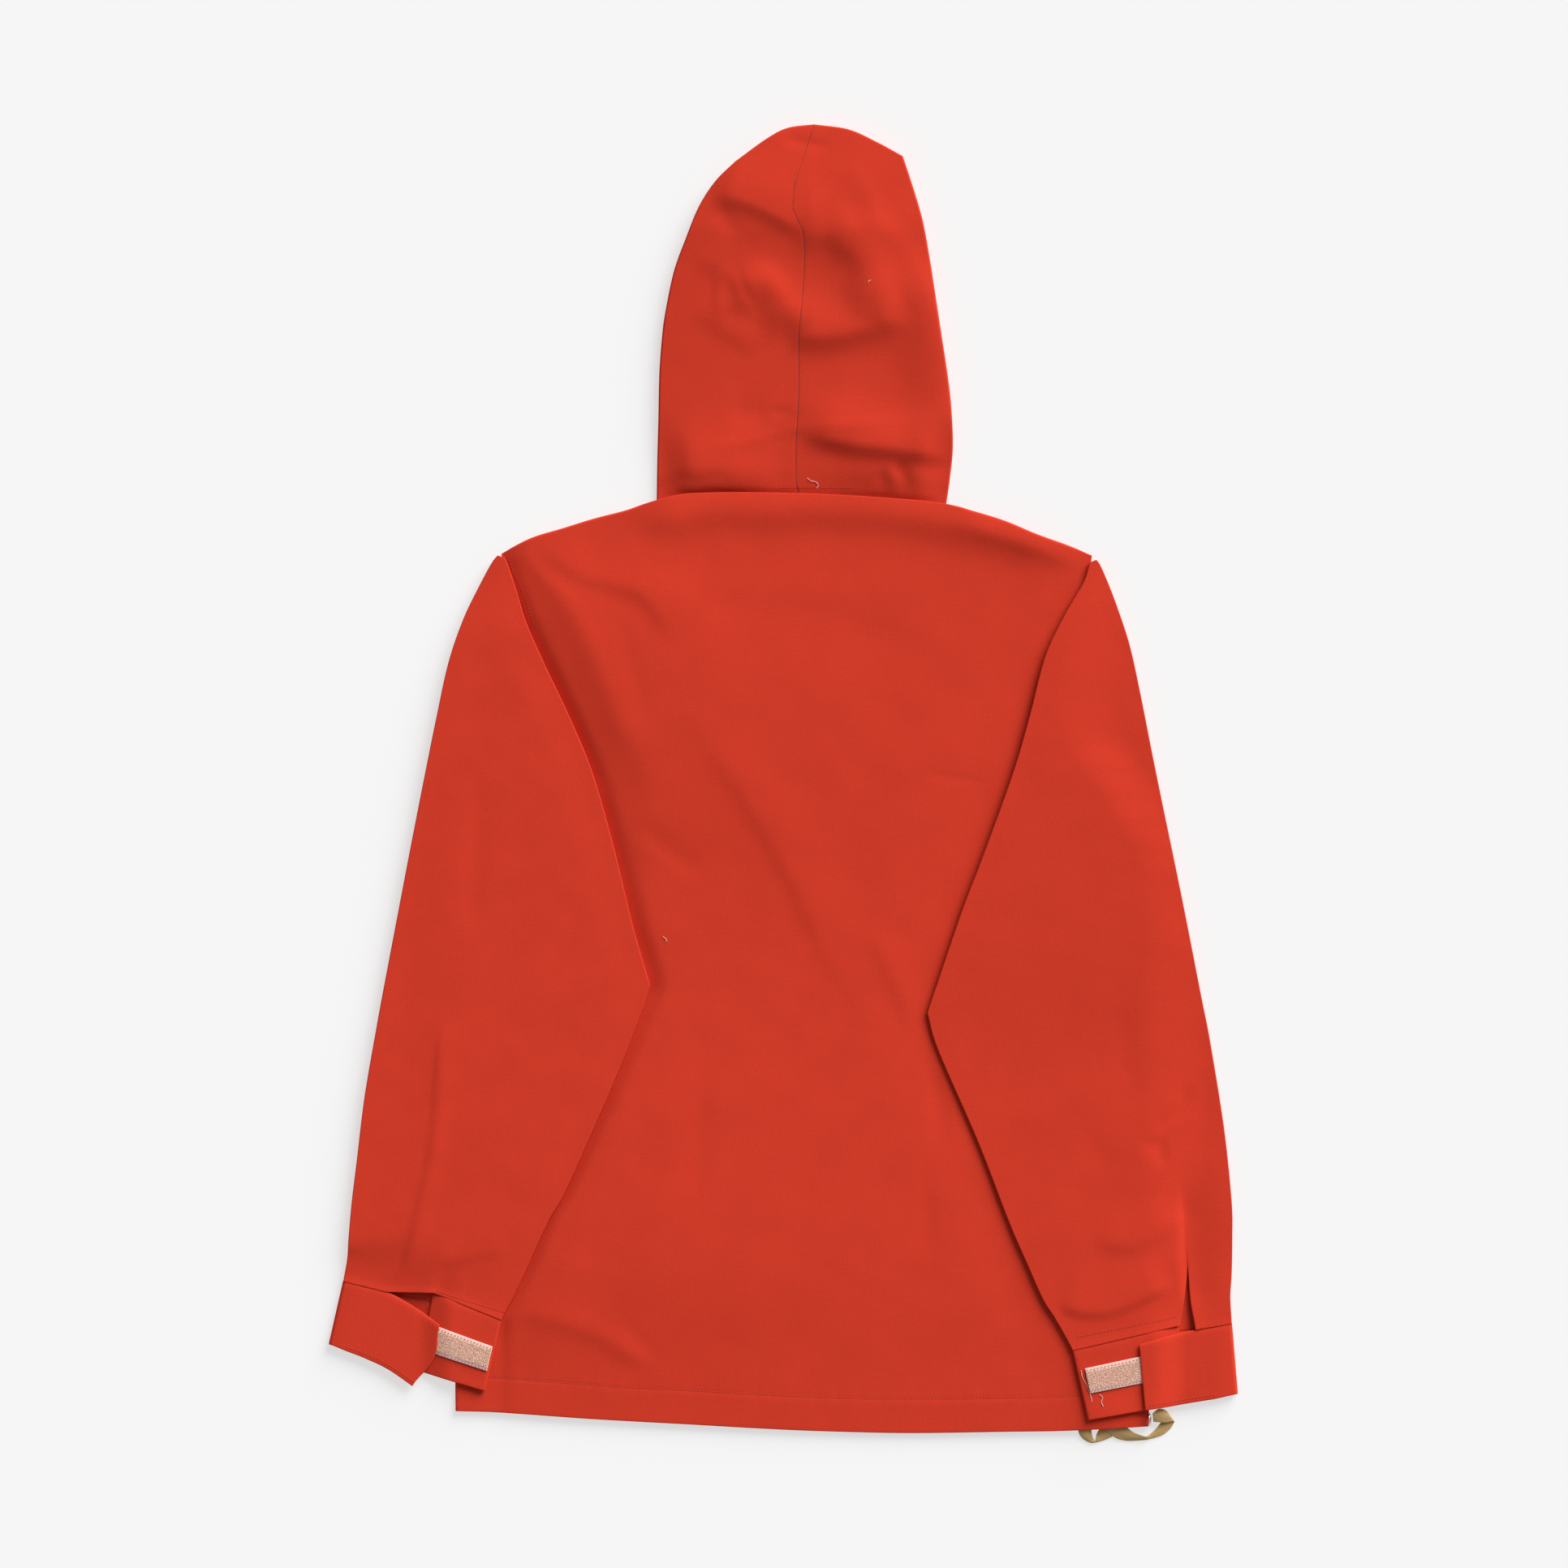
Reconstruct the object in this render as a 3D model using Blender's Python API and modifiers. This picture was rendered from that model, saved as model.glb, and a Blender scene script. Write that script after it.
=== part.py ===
"""Anorak pullover laid flat on its front, hood up, sleeves swung down over the back.

Units in the tables are millimetres. +X is the wearer's right, +Y points to the hood, +Z is up,
and the garment rests on z = 0. Every cloth piece is one sheet: a grid of columns and rows whose
points are worked out from the outline tables below, given a wall by a Solidify modifier.
"""
from collections import namedtuple
from math import cos, exp, hypot, pi, radians, sin, sqrt

import bmesh
import bpy
from mathutils import Matrix, Vector

MM = 0.001

# Walls and the levels of the layers (heights are of a wall's middle)
WALL = 1.2                      # thickness of every cloth wall
GAP = 0.3                       # clearance between two pieces at a seam
PITCH = WALL + GAP              # middle to middle of two walls that lie on each other
REST_GAP = 0.5                  # added where a sleeve rests on the curved back panel
FLOOR_LEVEL = WALL / 2          # a wall that lies on the surface
LAP_LEVEL = FLOOR_LEVEL + PITCH + 0.1  # a wall lapped over one that lies on the surface
BACK_LEVEL = 3.9                # the back panel over the front panel
HEM_LEVEL = 3.5                 # the back panel at its hem
NECK_LEVEL = 5.8                # the back panel's neck edge, over both layers of the hood
HOOD_LEVEL = 4.9                # the hood's upper layer
HOOD_BASE_LEVEL = 4.0           # the hood's upper layer where the back panel covers it
SLEEVE_LOFT = 3.3               # a sleeve's upper layer over its lower one
TIP_LOFT = 2.3                  # the same at the shoulder
UNDERLAP_LOFT = 1.9             # a cuff's underlap over its lower layer
TAB_LOFT = 4.9                  # a cuff's free tab over its lower layer
SEAM_LAP = 3.0                  # how far a sleeve laps over the armhole edge
LAP_RAMP = (10.0, 3.0)          # distances outside the body over which a lapped wall rises

# Body
UNDERARM_Y = -31.0
EDGE_ROLL = 5.0                 # width over which the back panel rolls down at its edges
NECK_LEFT_X = -96.0
NECK_RIGHT_X = 123.0
NECK_CENTRE_X = 12.0
NECK_SCOOP = 76.0               # depth of the front neckline below the shoulder line
NECK_LINE_Y = 206.0             # height of the front neckline's two ends
BACK_COLUMNS = 32
BACK_ROWS_BELOW = 13            # rows of cells from the hem to the underarm
FRONT_ROWS_BELOW = 5
# Where the back panel changes level: y from the hem up, y up to the neck, x out from the neck
HEM_RAMP = (-485.0, -420.0)
NECK_RAMP = (120.0, 198.0)
NECK_SIDE_RAMP = (170.0, 118.0)
FOLD_FADE = (2.0, 16.0)         # distances from a sleeve over which the back's folds fade in
UNDERARM_FADE = (2.0, 14.0)     # distances above the underarm over which the side edge opens
HOOD_FADE = (20.0, 6.0)         # distances outside the neck over which the shoulder edge opens
ARMHOLE_FADE = (14.0, 4.0)      # distances from the shoulder's end over which it opens too

# x, y along the hem
HEM = (
    (-248, -479), (-216, -480), (-144, -485), (-72, -489), (0, -493), (48, -494.7), (96, -495.6),
    (168, -494.6), (216, -493.8), (276, -490.5),
)
# x, y along the left shoulder, the back neck and the right shoulder
SHOULDERS = (
    (-214.5, 170.5), (-192, 182), (-168, 189.4), (-144, 196.8), (-120, 203), (-96, 211), (-71, 216),
    (12, 216), (85, 212), (123, 208), (144, 202.4), (168, 195), (192, 185), (216, 176.4), (234, 169),
)
# y, left x, right x of the side seams and, above the underarm, of the armholes
SIDES = (
    (-500, -248, 276), (-459, -248.5, 277), (-245, -247, 277), (-31, -246, 276),
    (-16, -222, 243), (6, -204, 219), (37, -194, 206), (67, -191, 204), (98, -194, 209),
    (125, -200, 219), (151, -210, 231), (172, -214, 234),
)
# x at which the front panel's columns reach its upper edge, between the two shoulder ends
FRONT_STOPS = (
    -178, -140, NECK_LEFT_X - 4, NECK_LEFT_X + 3, -78, -50, -20, 12, 45, 76, 105,
    NECK_RIGHT_X - 3, NECK_RIGHT_X + 4, 160, 196,
)
# Ridges and troughs of the back panel: from x, y to x, y, height, half width
BACK_FOLDS = (
    (-196, 150, -151, 67, 1.3, 11),
    (-151, 67, -122, -8, 1.0, 12),
    (-172, 172, -102, 123, 1.2, 14),
    (-102, 123, -10, -56, 0.9, 20),
    (-10, -56, 24, -122, -0.8, 15),
    (-60, 190, 83, 186, 1.1, 12),
    (83, 186, 222, 158, 1.2, 13),
    (-30, 172, 190, 150, -0.7, 16),
    (105, 4, 152, -1, -0.7, 8),
    (-200, -416, -100, -449, 0.9, 12),
)
# The hem lifts over the drawcord that is tucked under it: x, y, height, half width
HEM_LIFT = (250, -488, 2.1, 26)

# Sleeves, from the cuff seam up to the shoulder:
# outer fold x, y, inner fold x, y
LEFT_SLEEVE = (
    (-333, -380, -214, -409), (-330, -363, -201, -384), (-329, -348, -180, -338),
    (-326.5, -320, -169, -315), (-322.7, -289, -154, -280), (-316.7, -240, -129, -225),
    (-307.2, -185, -107, -177), (-303.2, -163, -101.5, -156), (-293.3, -111, -112, -111),
    (-282.2, -53, -126.5, -49.5), (-271.2, 3, -142, 6), (-262.1, 48, -162, 48),
    (-253.3, 88, -181, 86), (-242.4, 120, -195, 118), (-231, 144, -203, 144),
    (-220.8, 163, -209.5, 163),
)
RIGHT_SLEEVE = (
    (339, -412, 219, -432), (338, -392, 206, -409), (339, -375, 196.5, -394),
    (339.5, -348, 184, -366), (339, -320, 171, -336), (333.3, -265, 144, -274),
    (322.9, -200, 117, -205), (316.3, -166.5, 109, -177), (302.2, -95, 131, -102),
    (289.6, -34, 155, -60), (279.2, 17, 173, 2), (269.9, 64, 186, 46), (262, 100, 196, 92),
    (253, 128, 213, 124), (245.4, 148, 227, 148), (239.2, 162, 231, 160),
)
SLEEVE_CORNER = 7               # row of both tables where the inner fold turns sharply
FOREARM_ROWS = 10               # rows of cells from the cuff seam to that corner
UPPER_ARM_ROWS = 5              # from the corner to the underarm
ARMHOLE_ROWS = 9                # from the underarm to the shoulder
SEAM_OUTSET = 12.0              # the underarm seam lies this far outside the body's side
UNDERARM_DROP = 4.0             # the armhole's lowest point on the sleeve, below the body's
LOWER_RAMP = 26.0               # width over which a sleeve's lower layer climbs on the body
UPPER_RAMP = 50.0               # the same for its upper layer
LOWER_INSET = 2.0               # the lower layer's climb ends this far outside the side
UPPER_INSET = 5.0               # the upper layer's climb ends this far inside it
TIP_RAMP = 60.0                 # length over which a sleeve thins towards the shoulder
ARMHOLE_LAP_RAMP = 25.0         # height above the underarm over which the seam laps over
ARMHOLE_SPACING = 0.6           # first row's spacing above the underarm, over the mean one
SEAM_MARGIN = 0.8               # least distance from a seam to a fold's round
SEAM_STOPS = (0.0, 6.0, 12.0)   # first points of the lower layer from its seam inwards
VENT_LENGTH = 60.0              # slit above each cuff
VENT_SPREAD = 3.0               # width of the slit at the cuff
# Ridges and troughs of the sleeves' upper layers: from x, y to x, y, height, half width
SLEEVE_FOLDS = (
    (-259, -203, -262, -271, 0.6, 10),
    (-262, -271, -279, -369, 0.8, 10),
    (-279, -369, -302, -388, 0.6, 8),
    (-258, -388, -212, -360, -0.5, 9),
    (307, -320, 303, -400, -0.5, 9),
    (261, -354, 301, -351, 0.7, 8),
    (230, -403, 292, -394, 0.6, 8),
    (255, -283, 292, -271, 0.5, 10),
)
SLEEVE_RING = (
    # stretch, cells
    ("lower inner", 4), ("inner fold", 4), ("upper", 8), ("outer fold", 4), ("lower outer", 3),
)
# shares of the way from the inner to the outer fold at which the upper layer has its points
UPPER_STOPS = (0.0, 0.12, 0.25, 0.38, 0.5, 0.62, 0.74, 0.87, 1.0)
VENT_STOP = 6                   # the stop at the vent
VENT_SHARE = UPPER_STOPS[VENT_STOP]

Cuff = namedtuple("Cuff", "side_sign seam_outer seam_inner low_outer low_inner vent_rise"
                          " tape_stations tape_high tape_low tab")
# Each tab: top edge x, y, low edge x, y, from its free end to the outer fold
LEFT_CUFF = Cuff(
    side_sign=-1, seam_outer=(-333, -380), seam_inner=(-214, -409),
    low_outer=(-344, -428.5), low_inner=(-226.5, -463.5), vent_rise=0.0,
    tape_stations=(1, 9), tape_high=0.39, tape_low=0.73,
    tab=(
        (-260, -413.5, -281, -460), (-280, -399.5, -300, -447), (-301, -388, -318, -438.5),
        (-316.5, -384.1, -331, -433.5),
    ),
)
RIGHT_CUFF = Cuff(
    side_sign=1, seam_outer=(339, -412), seam_inner=(219, -432),
    low_outer=(343.5, -466), low_inner=(231, -485.5), vent_rise=6.0,
    tape_stations=(1, 10), tape_high=0.29, tape_low=0.64,
    tab=(
        (269, -428, 273.5, -478), (289, -422.3, 291, -475.5), (309, -417.8, 309, -472.5),
        (325, -415.1, 326, -469.8),
    ),
)
CUFF_LENGTH = 120.0             # from the outer to the inner fold
CUFF_CLEARANCE = 0.7            # between a cuff and the end of its sleeve
TAPE_THICK = 1.0                # loop tape
TAPE_GAP = 0.4                  # between the loop tape and the underlap it is sewn to
UNDERLAP_END = 0.36             # share of the cuff's length where the underlap ends, under the tab
UNDERLAP_CELLS = 12             # stations of the underlap, from the inner fold to its end
TAB_CELLS = 8
CUFF_LOWER_CELLS = 8
CUFF_FOLD_CELLS = 4

# Hood: the centre seam on the upper layer, the left and right outlines, then the edge of the
# face opening underneath (its y and half the opening's width): x, y, x, y, x, y, y, half width
HOOD = (
    (11.5, 204, -95.8, 203, 122, 203, 126, 12),
    (9.5, 227, -95.3, 240, 125.5, 227, 166, 14),
    (9.5, 255, -94.5, 270, 127.8, 252, 203, 15),
    (11.5, 289, -93.7, 307, 126.4, 283, 246, 15),
    (11.5, 319, -91.6, 335, 123.6, 307, 283, 15),
    (12, 341, -89.2, 353, 118.4, 341, 313, 14),
    (14.5, 369, -82.7, 384, 114.1, 369, 344, 12),
    (15.7, 393, -73.7, 409, 110.4, 393, 375, 9),
    (15, 412, -63.8, 433, 105.3, 421, 400, 5),
    (10, 423, -51.5, 452, 98.8, 444, 415, 1.5),
    (7, 429, -36.3, 467, 90, 471, 424, 0.3),
    (7, 437, -13, 484, 70.5, 481.6, 433, 0.3),
    (7.7, 443, 3, 492.3, 49, 491.2, 441, 0.3),
    (8.3, 450, 23, 495, 23, 495, 449, 0.3),
)
HOOD_CORNER = 10                # row where the right outline turns sharply
HOOD_SIDE_ROWS = 14             # rows of cells from the neck to that corner
HOOD_CROWN_ROWS = 5             # from the corner to the end of the centre seam
HOOD_SEAM_HALF = 0.25           # half the gap between the two halves at the centre seam
FACE_END_ROW = 9                # above this row the face opening's edge follows the centre seam
NECK_BEND_ROWS = 7              # lowest rows that bend down to the front neckline
FACE_BEND_ROWS = 0.5            # the same at the face opening's own edge
HOOD_NECK_LAP = SEAM_LAP + 1.0  # how far the hood laps over the front neckline
COVER_RAMP = (6.0, 20.0)        # distances above the back neck over which the upper layer rises
UNDER_RAMP = (2.0, 10.0)        # the same over which the lower layer comes down
HOOD_FOLDS = (
    # x, y to x, y, height, half width
    (-52, 427, 10, 421, 0.6, 11), (22, 412, 66, 380, 0.6, 11), (-52, 352, 10, 330, -0.6, 10),
    (12, 328, 78, 344, 0.6, 10), (12, 257, 40, 254, 0.5, 9), (40, 254, 124, 238, 0.7, 10),
    (-72, 228, -10, 234, 0.5, 9),
)
HOOD_RING = (("upper", 8), ("outline", 4), ("lower", 5))

# Eyelet at the hem's right end, its face turned to the side
EYELET_CENTRE = (277.5, -485.0, 5.2)
EYELET_RADIUS = 5.0
EYELET_HOLE_RADIUS = 2.8
EYELET_THICK = 1.2
EYELET_TILT = radians(80)
EYELET_REACH = 9.0              # the back panel's edge stays up this far along the eyelet

# Drawcord: flat cotton tape, from the eyelet round its two loops to the end under the hem: x, y, z
CORD_WIDTH = 10.0
CORD_THICK = 1.0
CORD_ROUTE = (
    (279.9, -484.3, 5.0), (286, -483.2, 4.6), (291, -486, 3.2), (291, -492, 1.7),
    (286.5, -497, 1.0), (280, -499.6, 0.9), (273, -500.2, 1.1), (265, -498.6, 2.0),
    (257, -494.5, 3.0),
    (250.5, -489, 3.4), (242, -485.5, 3.4), (233.5, -486, 3.0), (229, -491, 2.3),
    (230, -497, 1.0), (236.5, -500.2, 0.8), (243, -498.5, 1.0), (247, -494, 2.0),
    (250.5, -488.5, 2.05),
)
CORD_STEPS_PER_STRETCH = 2
CORD_ROWS = 2
CORD_STEP = 0.05                # share of a stretch used to find the tape's direction

# sRGB-linear colour, roughness, metallic
FINISHES = {
    "shell_cloth": ((0.58, 0.045, 0.022), 0.85, 0.0),
    "loop_tape": ((0.66, 0.38, 0.27), 0.95, 0.0),
    "drawcord_tape": ((0.54, 0.34, 0.14), 0.9, 0.0),
    "eyelet_metal": ((0.62, 0.62, 0.62), 0.3, 1.0),
}


# ---------------------------------------------------------------- curves and heights

def mix(low, high, share):
    """The value that share of the way from low to high."""
    return low + (high - low) * share


def ease(start, end, value):
    """0 before start, 1 after end, and a smooth step between them."""
    share = min(max((value - start) / (end - start), 0.0), 1.0)
    return share * share * (3.0 - 2.0 * share)


def smooth(table, key, corners=()):
    """The other columns of a table at a key of its first column, on a smooth curve.

    The curve keeps its rows' values and breaks its direction at the rows listed as corners.
    """
    last = len(table) - 1
    key = min(max(key, table[0][0]), table[last][0])
    row = 0
    while row < last - 1 and table[row + 1][0] < key:
        row += 1

    def slope(at, other, column):
        step = (table[other][column] - table[at][column]) / (table[other][0] - table[at][0])
        beyond = 2 * at - other
        if at in corners or beyond < 0 or beyond > last:
            return step
        return (table[other][column] - table[beyond][column]) / (table[other][0] - table[beyond][0])

    span = table[row + 1][0] - table[row][0]
    t = (key - table[row][0]) / span
    values = []
    for column in range(1, len(table[0])):
        start = table[row][column]
        end = table[row + 1][column]
        leave = slope(row, row + 1, column) * span
        arrive = slope(row + 1, row, column) * span
        values.append((2 * t**3 - 3 * t**2 + 1) * start + (t**3 - 2 * t**2 + t) * leave
                      + (3 * t**2 - 2 * t**3) * end + (t**3 - t**2) * arrive)
    return values


def halving(low, high, is_before):
    """The value between low and high up to which is_before holds."""
    for _ in range(40):
        middle = (low + high) / 2
        if is_before(middle):
            low = middle
        else:
            high = middle
    return low


def numbered(table):
    """The table with its row number as a first column, so that it can be read by row."""
    return [(number, *row) for number, row in enumerate(table)]


def hem_y(x):
    """Height of the hem line at x."""
    return smooth(HEM, x)[0]


def shoulder_y(x):
    """Height of the shoulder and back neck line at x."""
    return smooth(SHOULDERS, x)[0]


def side_x(y, sign):
    """Side seam or armhole edge at y: sign -1 is the left one, 1 the right one."""
    row = 0
    while row < len(SIDES) - 2 and SIDES[row + 1][0] < y:
        row += 1
    start_y, *start_sides = SIDES[row]
    end_y, *end_sides = SIDES[row + 1]
    share = min(max((y - start_y) / (end_y - start_y), 0.0), 1.0)
    side = 0 if sign < 0 else 1
    return mix(start_sides[side], end_sides[side], share)


def inner_fold_x(sleeve, y):
    """Inner fold of a sleeve's table at y."""
    return smooth([(row[3], row[2]) for row in sleeve], y)[0]


def fold_height(folds, x, y):
    """Sum of the ridges and troughs of a table of folds at x, y."""
    total = 0.0
    for start_x, start_y, end_x, end_y, height, width in folds:
        along_x = end_x - start_x
        along_y = end_y - start_y
        length = hypot(along_x, along_y)
        along = ((x - start_x) * along_x + (y - start_y) * along_y) / length
        across = ((x - start_x) * along_y - (y - start_y) * along_x) / length
        beyond = max(-along, along - length, 0.0)
        total += height * exp(-(across / width)**2 - (beyond / width)**2)
    return total


def back_height(x, y):
    """Height of the back panel's middle at x, y, before its edges roll down."""
    level = mix(HEM_LEVEL, BACK_LEVEL, ease(*HEM_RAMP, y))
    near_neck = ease(*NECK_RAMP, y) * ease(*NECK_SIDE_RAMP, abs(x - NECK_CENTRE_X))
    level = mix(level, NECK_LEVEL, near_neck)
    lift_x, lift_y, lift, width = HEM_LIFT
    level += lift * exp(-((x - lift_x)**2 + (y - lift_y)**2) / width**2)
    shown = ease(*FOLD_FADE, x - inner_fold_x(LEFT_SLEEVE, y))
    shown *= ease(*FOLD_FADE, inner_fold_x(RIGHT_SLEEVE, y) - x)
    return level + fold_height(BACK_FOLDS, x, y) * (1.0 - near_neck) * shown


def quarter_roll(distance):
    """Share of its full height that an edge rolled down over EDGE_ROLL has at a distance."""
    inside = min(max(distance / EDGE_ROLL, 0.0), 1.0)
    return sqrt(1.0 - (1.0 - inside)**2)


# ---------------------------------------------------------------- Blender objects

def clear_scene():
    """Remove every object of the scene."""
    for thing in list(bpy.data.objects):
        bpy.data.objects.remove(thing, do_unlink=True)


def finish(name):
    """The material of a finish."""
    colour, roughness, metallic = FINISHES[name]
    material = bpy.data.materials.new(name)
    material.use_nodes = True
    shader = material.node_tree.nodes["Principled BSDF"]
    shader.inputs["Base Color"].default_value = (*colour, 1.0)
    shader.inputs["Roughness"].default_value = roughness
    shader.inputs["Metallic"].default_value = metallic
    material.diffuse_color = (*colour, 1.0)
    return material


def add_object(name, mesh, finish_name):
    """Put a mesh in the garment's collection as one named piece with its own material."""
    piece = bpy.data.objects.new(name, mesh)
    mesh.materials.append(finish(finish_name))
    bpy.data.collections["anorak_pullover"].objects.link(piece)
    return piece


def add_sheet(name, finish_name, columns, rows, place, wall=WALL, slit=None):
    """A closed sheet: a grid whose point (column, row) stands where place puts it, in mm.

    slit is (column, rows): the grid is cut open along that column for its first rows, and
    place is told with its third argument which points belong past the cut.
    """
    grid = bmesh.new()
    bmesh.ops.create_grid(grid, x_segments=columns, y_segments=rows, size=1.0)
    for vertex in grid.verts:
        vertex.co.x = round((vertex.co.x + 1.0) / 2.0 * columns)
        vertex.co.y = round((vertex.co.y + 1.0) / 2.0 * rows)
    cut_column = columns
    if slit:
        cut_column, cut_rows = slit
        cut = [edge for edge in grid.edges
               if all(end.co.x == cut_column and end.co.y <= cut_rows for end in edge.verts)]
        bmesh.ops.split_edges(grid, edges=cut)
    places = {}
    for vertex in grid.verts:
        middle = sum(face.calc_center_median().x for face in vertex.link_faces)
        past_cut = middle / len(vertex.link_faces) > cut_column
        places[vertex] = place(int(vertex.co.x), int(vertex.co.y), past_cut)
    for vertex, point in places.items():
        vertex.co = Vector(point) * MM
    bmesh.ops.remove_doubles(grid, verts=grid.verts, dist=0.00001)
    mesh = bpy.data.meshes.new(name)
    grid.to_mesh(mesh)
    grid.free()
    piece = add_object(name, mesh, finish_name)
    solidify = piece.modifiers.new("wall", "SOLIDIFY")
    solidify.thickness = wall * MM
    solidify.offset = 0.0
    mesh.shade_smooth()
    return piece


# ---------------------------------------------------------------- body

# distances from a rolled edge at which its points stand: each 30 degrees of the roll
ROLL_STOPS = tuple(EDGE_ROLL * (1 - cos(radians(turn))) for turn in (0, 30, 60, 90))


def stops_between(start, end, cells):
    """Points from start to end, close together over the rolled edges at both ends."""
    inner = cells - 2 * (len(ROLL_STOPS) - 1)
    low = start + EDGE_ROLL
    high = end - EDGE_ROLL
    stops = [start + stop for stop in ROLL_STOPS[:-1]]
    stops += [mix(low, high, number / inner) for number in range(inner + 1)]
    stops += [end - stop for stop in reversed(ROLL_STOPS[:-1])]
    return stops


def panel_rows(below_underarm):
    """Heights of a body panel's rows at its left and right edges, from the hem up.

    Above the underarm the rows stand at the armhole's own points, so that both panels and
    the sleeves follow one line.
    """
    left = [mix(hem_y(HEM[0][0]), UNDERARM_Y, number / below_underarm)
            for number in range(below_underarm + 1)]
    right = [mix(hem_y(HEM[-1][0]), UNDERARM_Y, number / below_underarm)
             for number in range(below_underarm + 1)]
    armhole = [row[0] for row in SIDES if UNDERARM_Y < row[0] < SHOULDERS[-1][1]]
    return left + armhole, right + armhole


def panel_point(left_y, right_y, across_of, top_y):
    """Point of a body panel's row whose ends are at the heights left_y and right_y.

    across_of gives the point's share of the way across from the row's two ends, and top_y the
    upper edge at the same share.
    """
    left = side_x(left_y, -1)
    right = side_x(right_y, 1)
    across = across_of(left, right)
    low = hem_y(mix(HEM[0][0], HEM[-1][0], across))
    left_share = (left_y - HEM[0][1]) / (SHOULDERS[0][1] - HEM[0][1])
    right_share = (right_y - HEM[-1][1]) / (SHOULDERS[-1][1] - HEM[-1][1])
    share = mix(left_share, right_share, across)
    return mix(left, right, across), mix(low, top_y(across), share), left, right


def add_back():
    """Back panel: on the front panel, its side and shoulder edges rolled down to it."""
    left_rows, right_rows = panel_rows(BACK_ROWS_BELOW)
    roll_rows = len(ROLL_STOPS)
    left_rows += [SHOULDERS[0][1]] * roll_rows
    right_rows += [SHOULDERS[-1][1]] * roll_rows
    rows = len(left_rows) - 1

    def place(column, row, _):
        inset = ROLL_STOPS[rows - row] if row > rows - roll_rows else EDGE_ROLL

        def across_of(left, right):
            return (stops_between(left, right, BACK_COLUMNS)[column] - left) / (right - left)

        def top_y(across):
            return shoulder_y(mix(SHOULDERS[0][0], SHOULDERS[-1][0], across))

        x, y, left, right = panel_point(left_rows[row], right_rows[row], across_of, top_y)
        high = top_y(across_of(left, right))
        y -= inset * ease(UNDERARM_Y, SHOULDERS[0][1] - EDGE_ROLL, y)
        full = back_height(x, y)
        side_open = ease(*UNDERARM_FADE, y - UNDERARM_Y)
        if x > 0:
            side_open += exp(-((y - EYELET_CENTRE[1]) / EYELET_REACH)**2)
        side_roll = mix(quarter_roll(min(x - left, right - x)), 1.0, side_open)
        over_hood = ease(*HOOD_FADE, NECK_LEFT_X - x) * ease(*HOOD_FADE, x - NECK_RIGHT_X)
        at_armhole = ease(*ARMHOLE_FADE, x - SHOULDERS[0][0])
        at_armhole += ease(*ARMHOLE_FADE, SHOULDERS[-1][0] - x)
        top_open = max(over_hood, at_armhole)
        top_roll = mix(quarter_roll(high - y), 1.0, top_open)
        z = mix(LAP_LEVEL, full, min(side_roll, top_roll))
        return x, y, z

    return add_sheet("back", "shell_cloth", BACK_COLUMNS, rows, place)


def neckline_y(x):
    """Front neckline: a half ellipse hung between the two ends of the neck."""
    half = (NECK_RIGHT_X - NECK_LEFT_X) / 2
    middle = (NECK_RIGHT_X + NECK_LEFT_X) / 2
    share = min(abs(x - middle) / half, 1.0)
    return NECK_LINE_Y - NECK_SCOOP * sqrt(1.0 - share**2)


def add_front():
    """Front panel: flat on the surface, its neckline scooped."""
    left_rows, right_rows = panel_rows(FRONT_ROWS_BELOW)
    left_rows.append(SHOULDERS[0][1])
    right_rows.append(SHOULDERS[-1][1])
    rows = len(left_rows) - 1
    left_end = SHOULDERS[0][0]
    right_end = SHOULDERS[-1][0]
    top_stops = (left_end, *FRONT_STOPS, right_end)

    def place(column, row, _):
        top_x = top_stops[column]

        def across_of(left, right):
            return (top_x - left_end) / (right_end - left_end)

        def top_y(across):
            in_neck = NECK_LEFT_X < top_x < NECK_RIGHT_X
            return neckline_y(top_x) if in_neck else shoulder_y(top_x)

        x, y, _, _ = panel_point(left_rows[row], right_rows[row], across_of, top_y)
        return x, y, FLOOR_LEVEL

    return add_sheet("front", "shell_cloth", len(top_stops) - 1, rows, place)


# ---------------------------------------------------------------- sleeves

def lower_on_body(x, y):
    """Height of a sleeve's lower layer where it lies on the back panel."""
    return back_height(x, y) + PITCH + REST_GAP


def lower_closed(x, y, sign):
    """Height of the lower layer below the underarm: from the surface up on to the body."""
    past_side = (side_x(min(y, UNDERARM_Y), sign) - x) * sign
    climb = ease(-LOWER_RAMP - LOWER_INSET, -LOWER_INSET, past_side)
    return mix(FLOOR_LEVEL, lower_on_body(x, y), climb)


def lower_outside(x, y, sign):
    """Height of the lower layer outside the armhole: on the surface, lapped on the front."""
    outside = (x - side_x(y, sign)) * sign
    return mix(FLOOR_LEVEL, LAP_LEVEL, ease(*LAP_RAMP, outside))


def upper_base(x, y, sign):
    """Height that a sleeve's upper layer drapes over, climbing slowly on to the body."""
    past_side = (side_x(y, sign) - x) * sign
    climb = ease(UPPER_INSET - UPPER_RAMP, UPPER_INSET, past_side)
    return mix(FLOOR_LEVEL, lower_on_body(x, y), climb)


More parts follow.
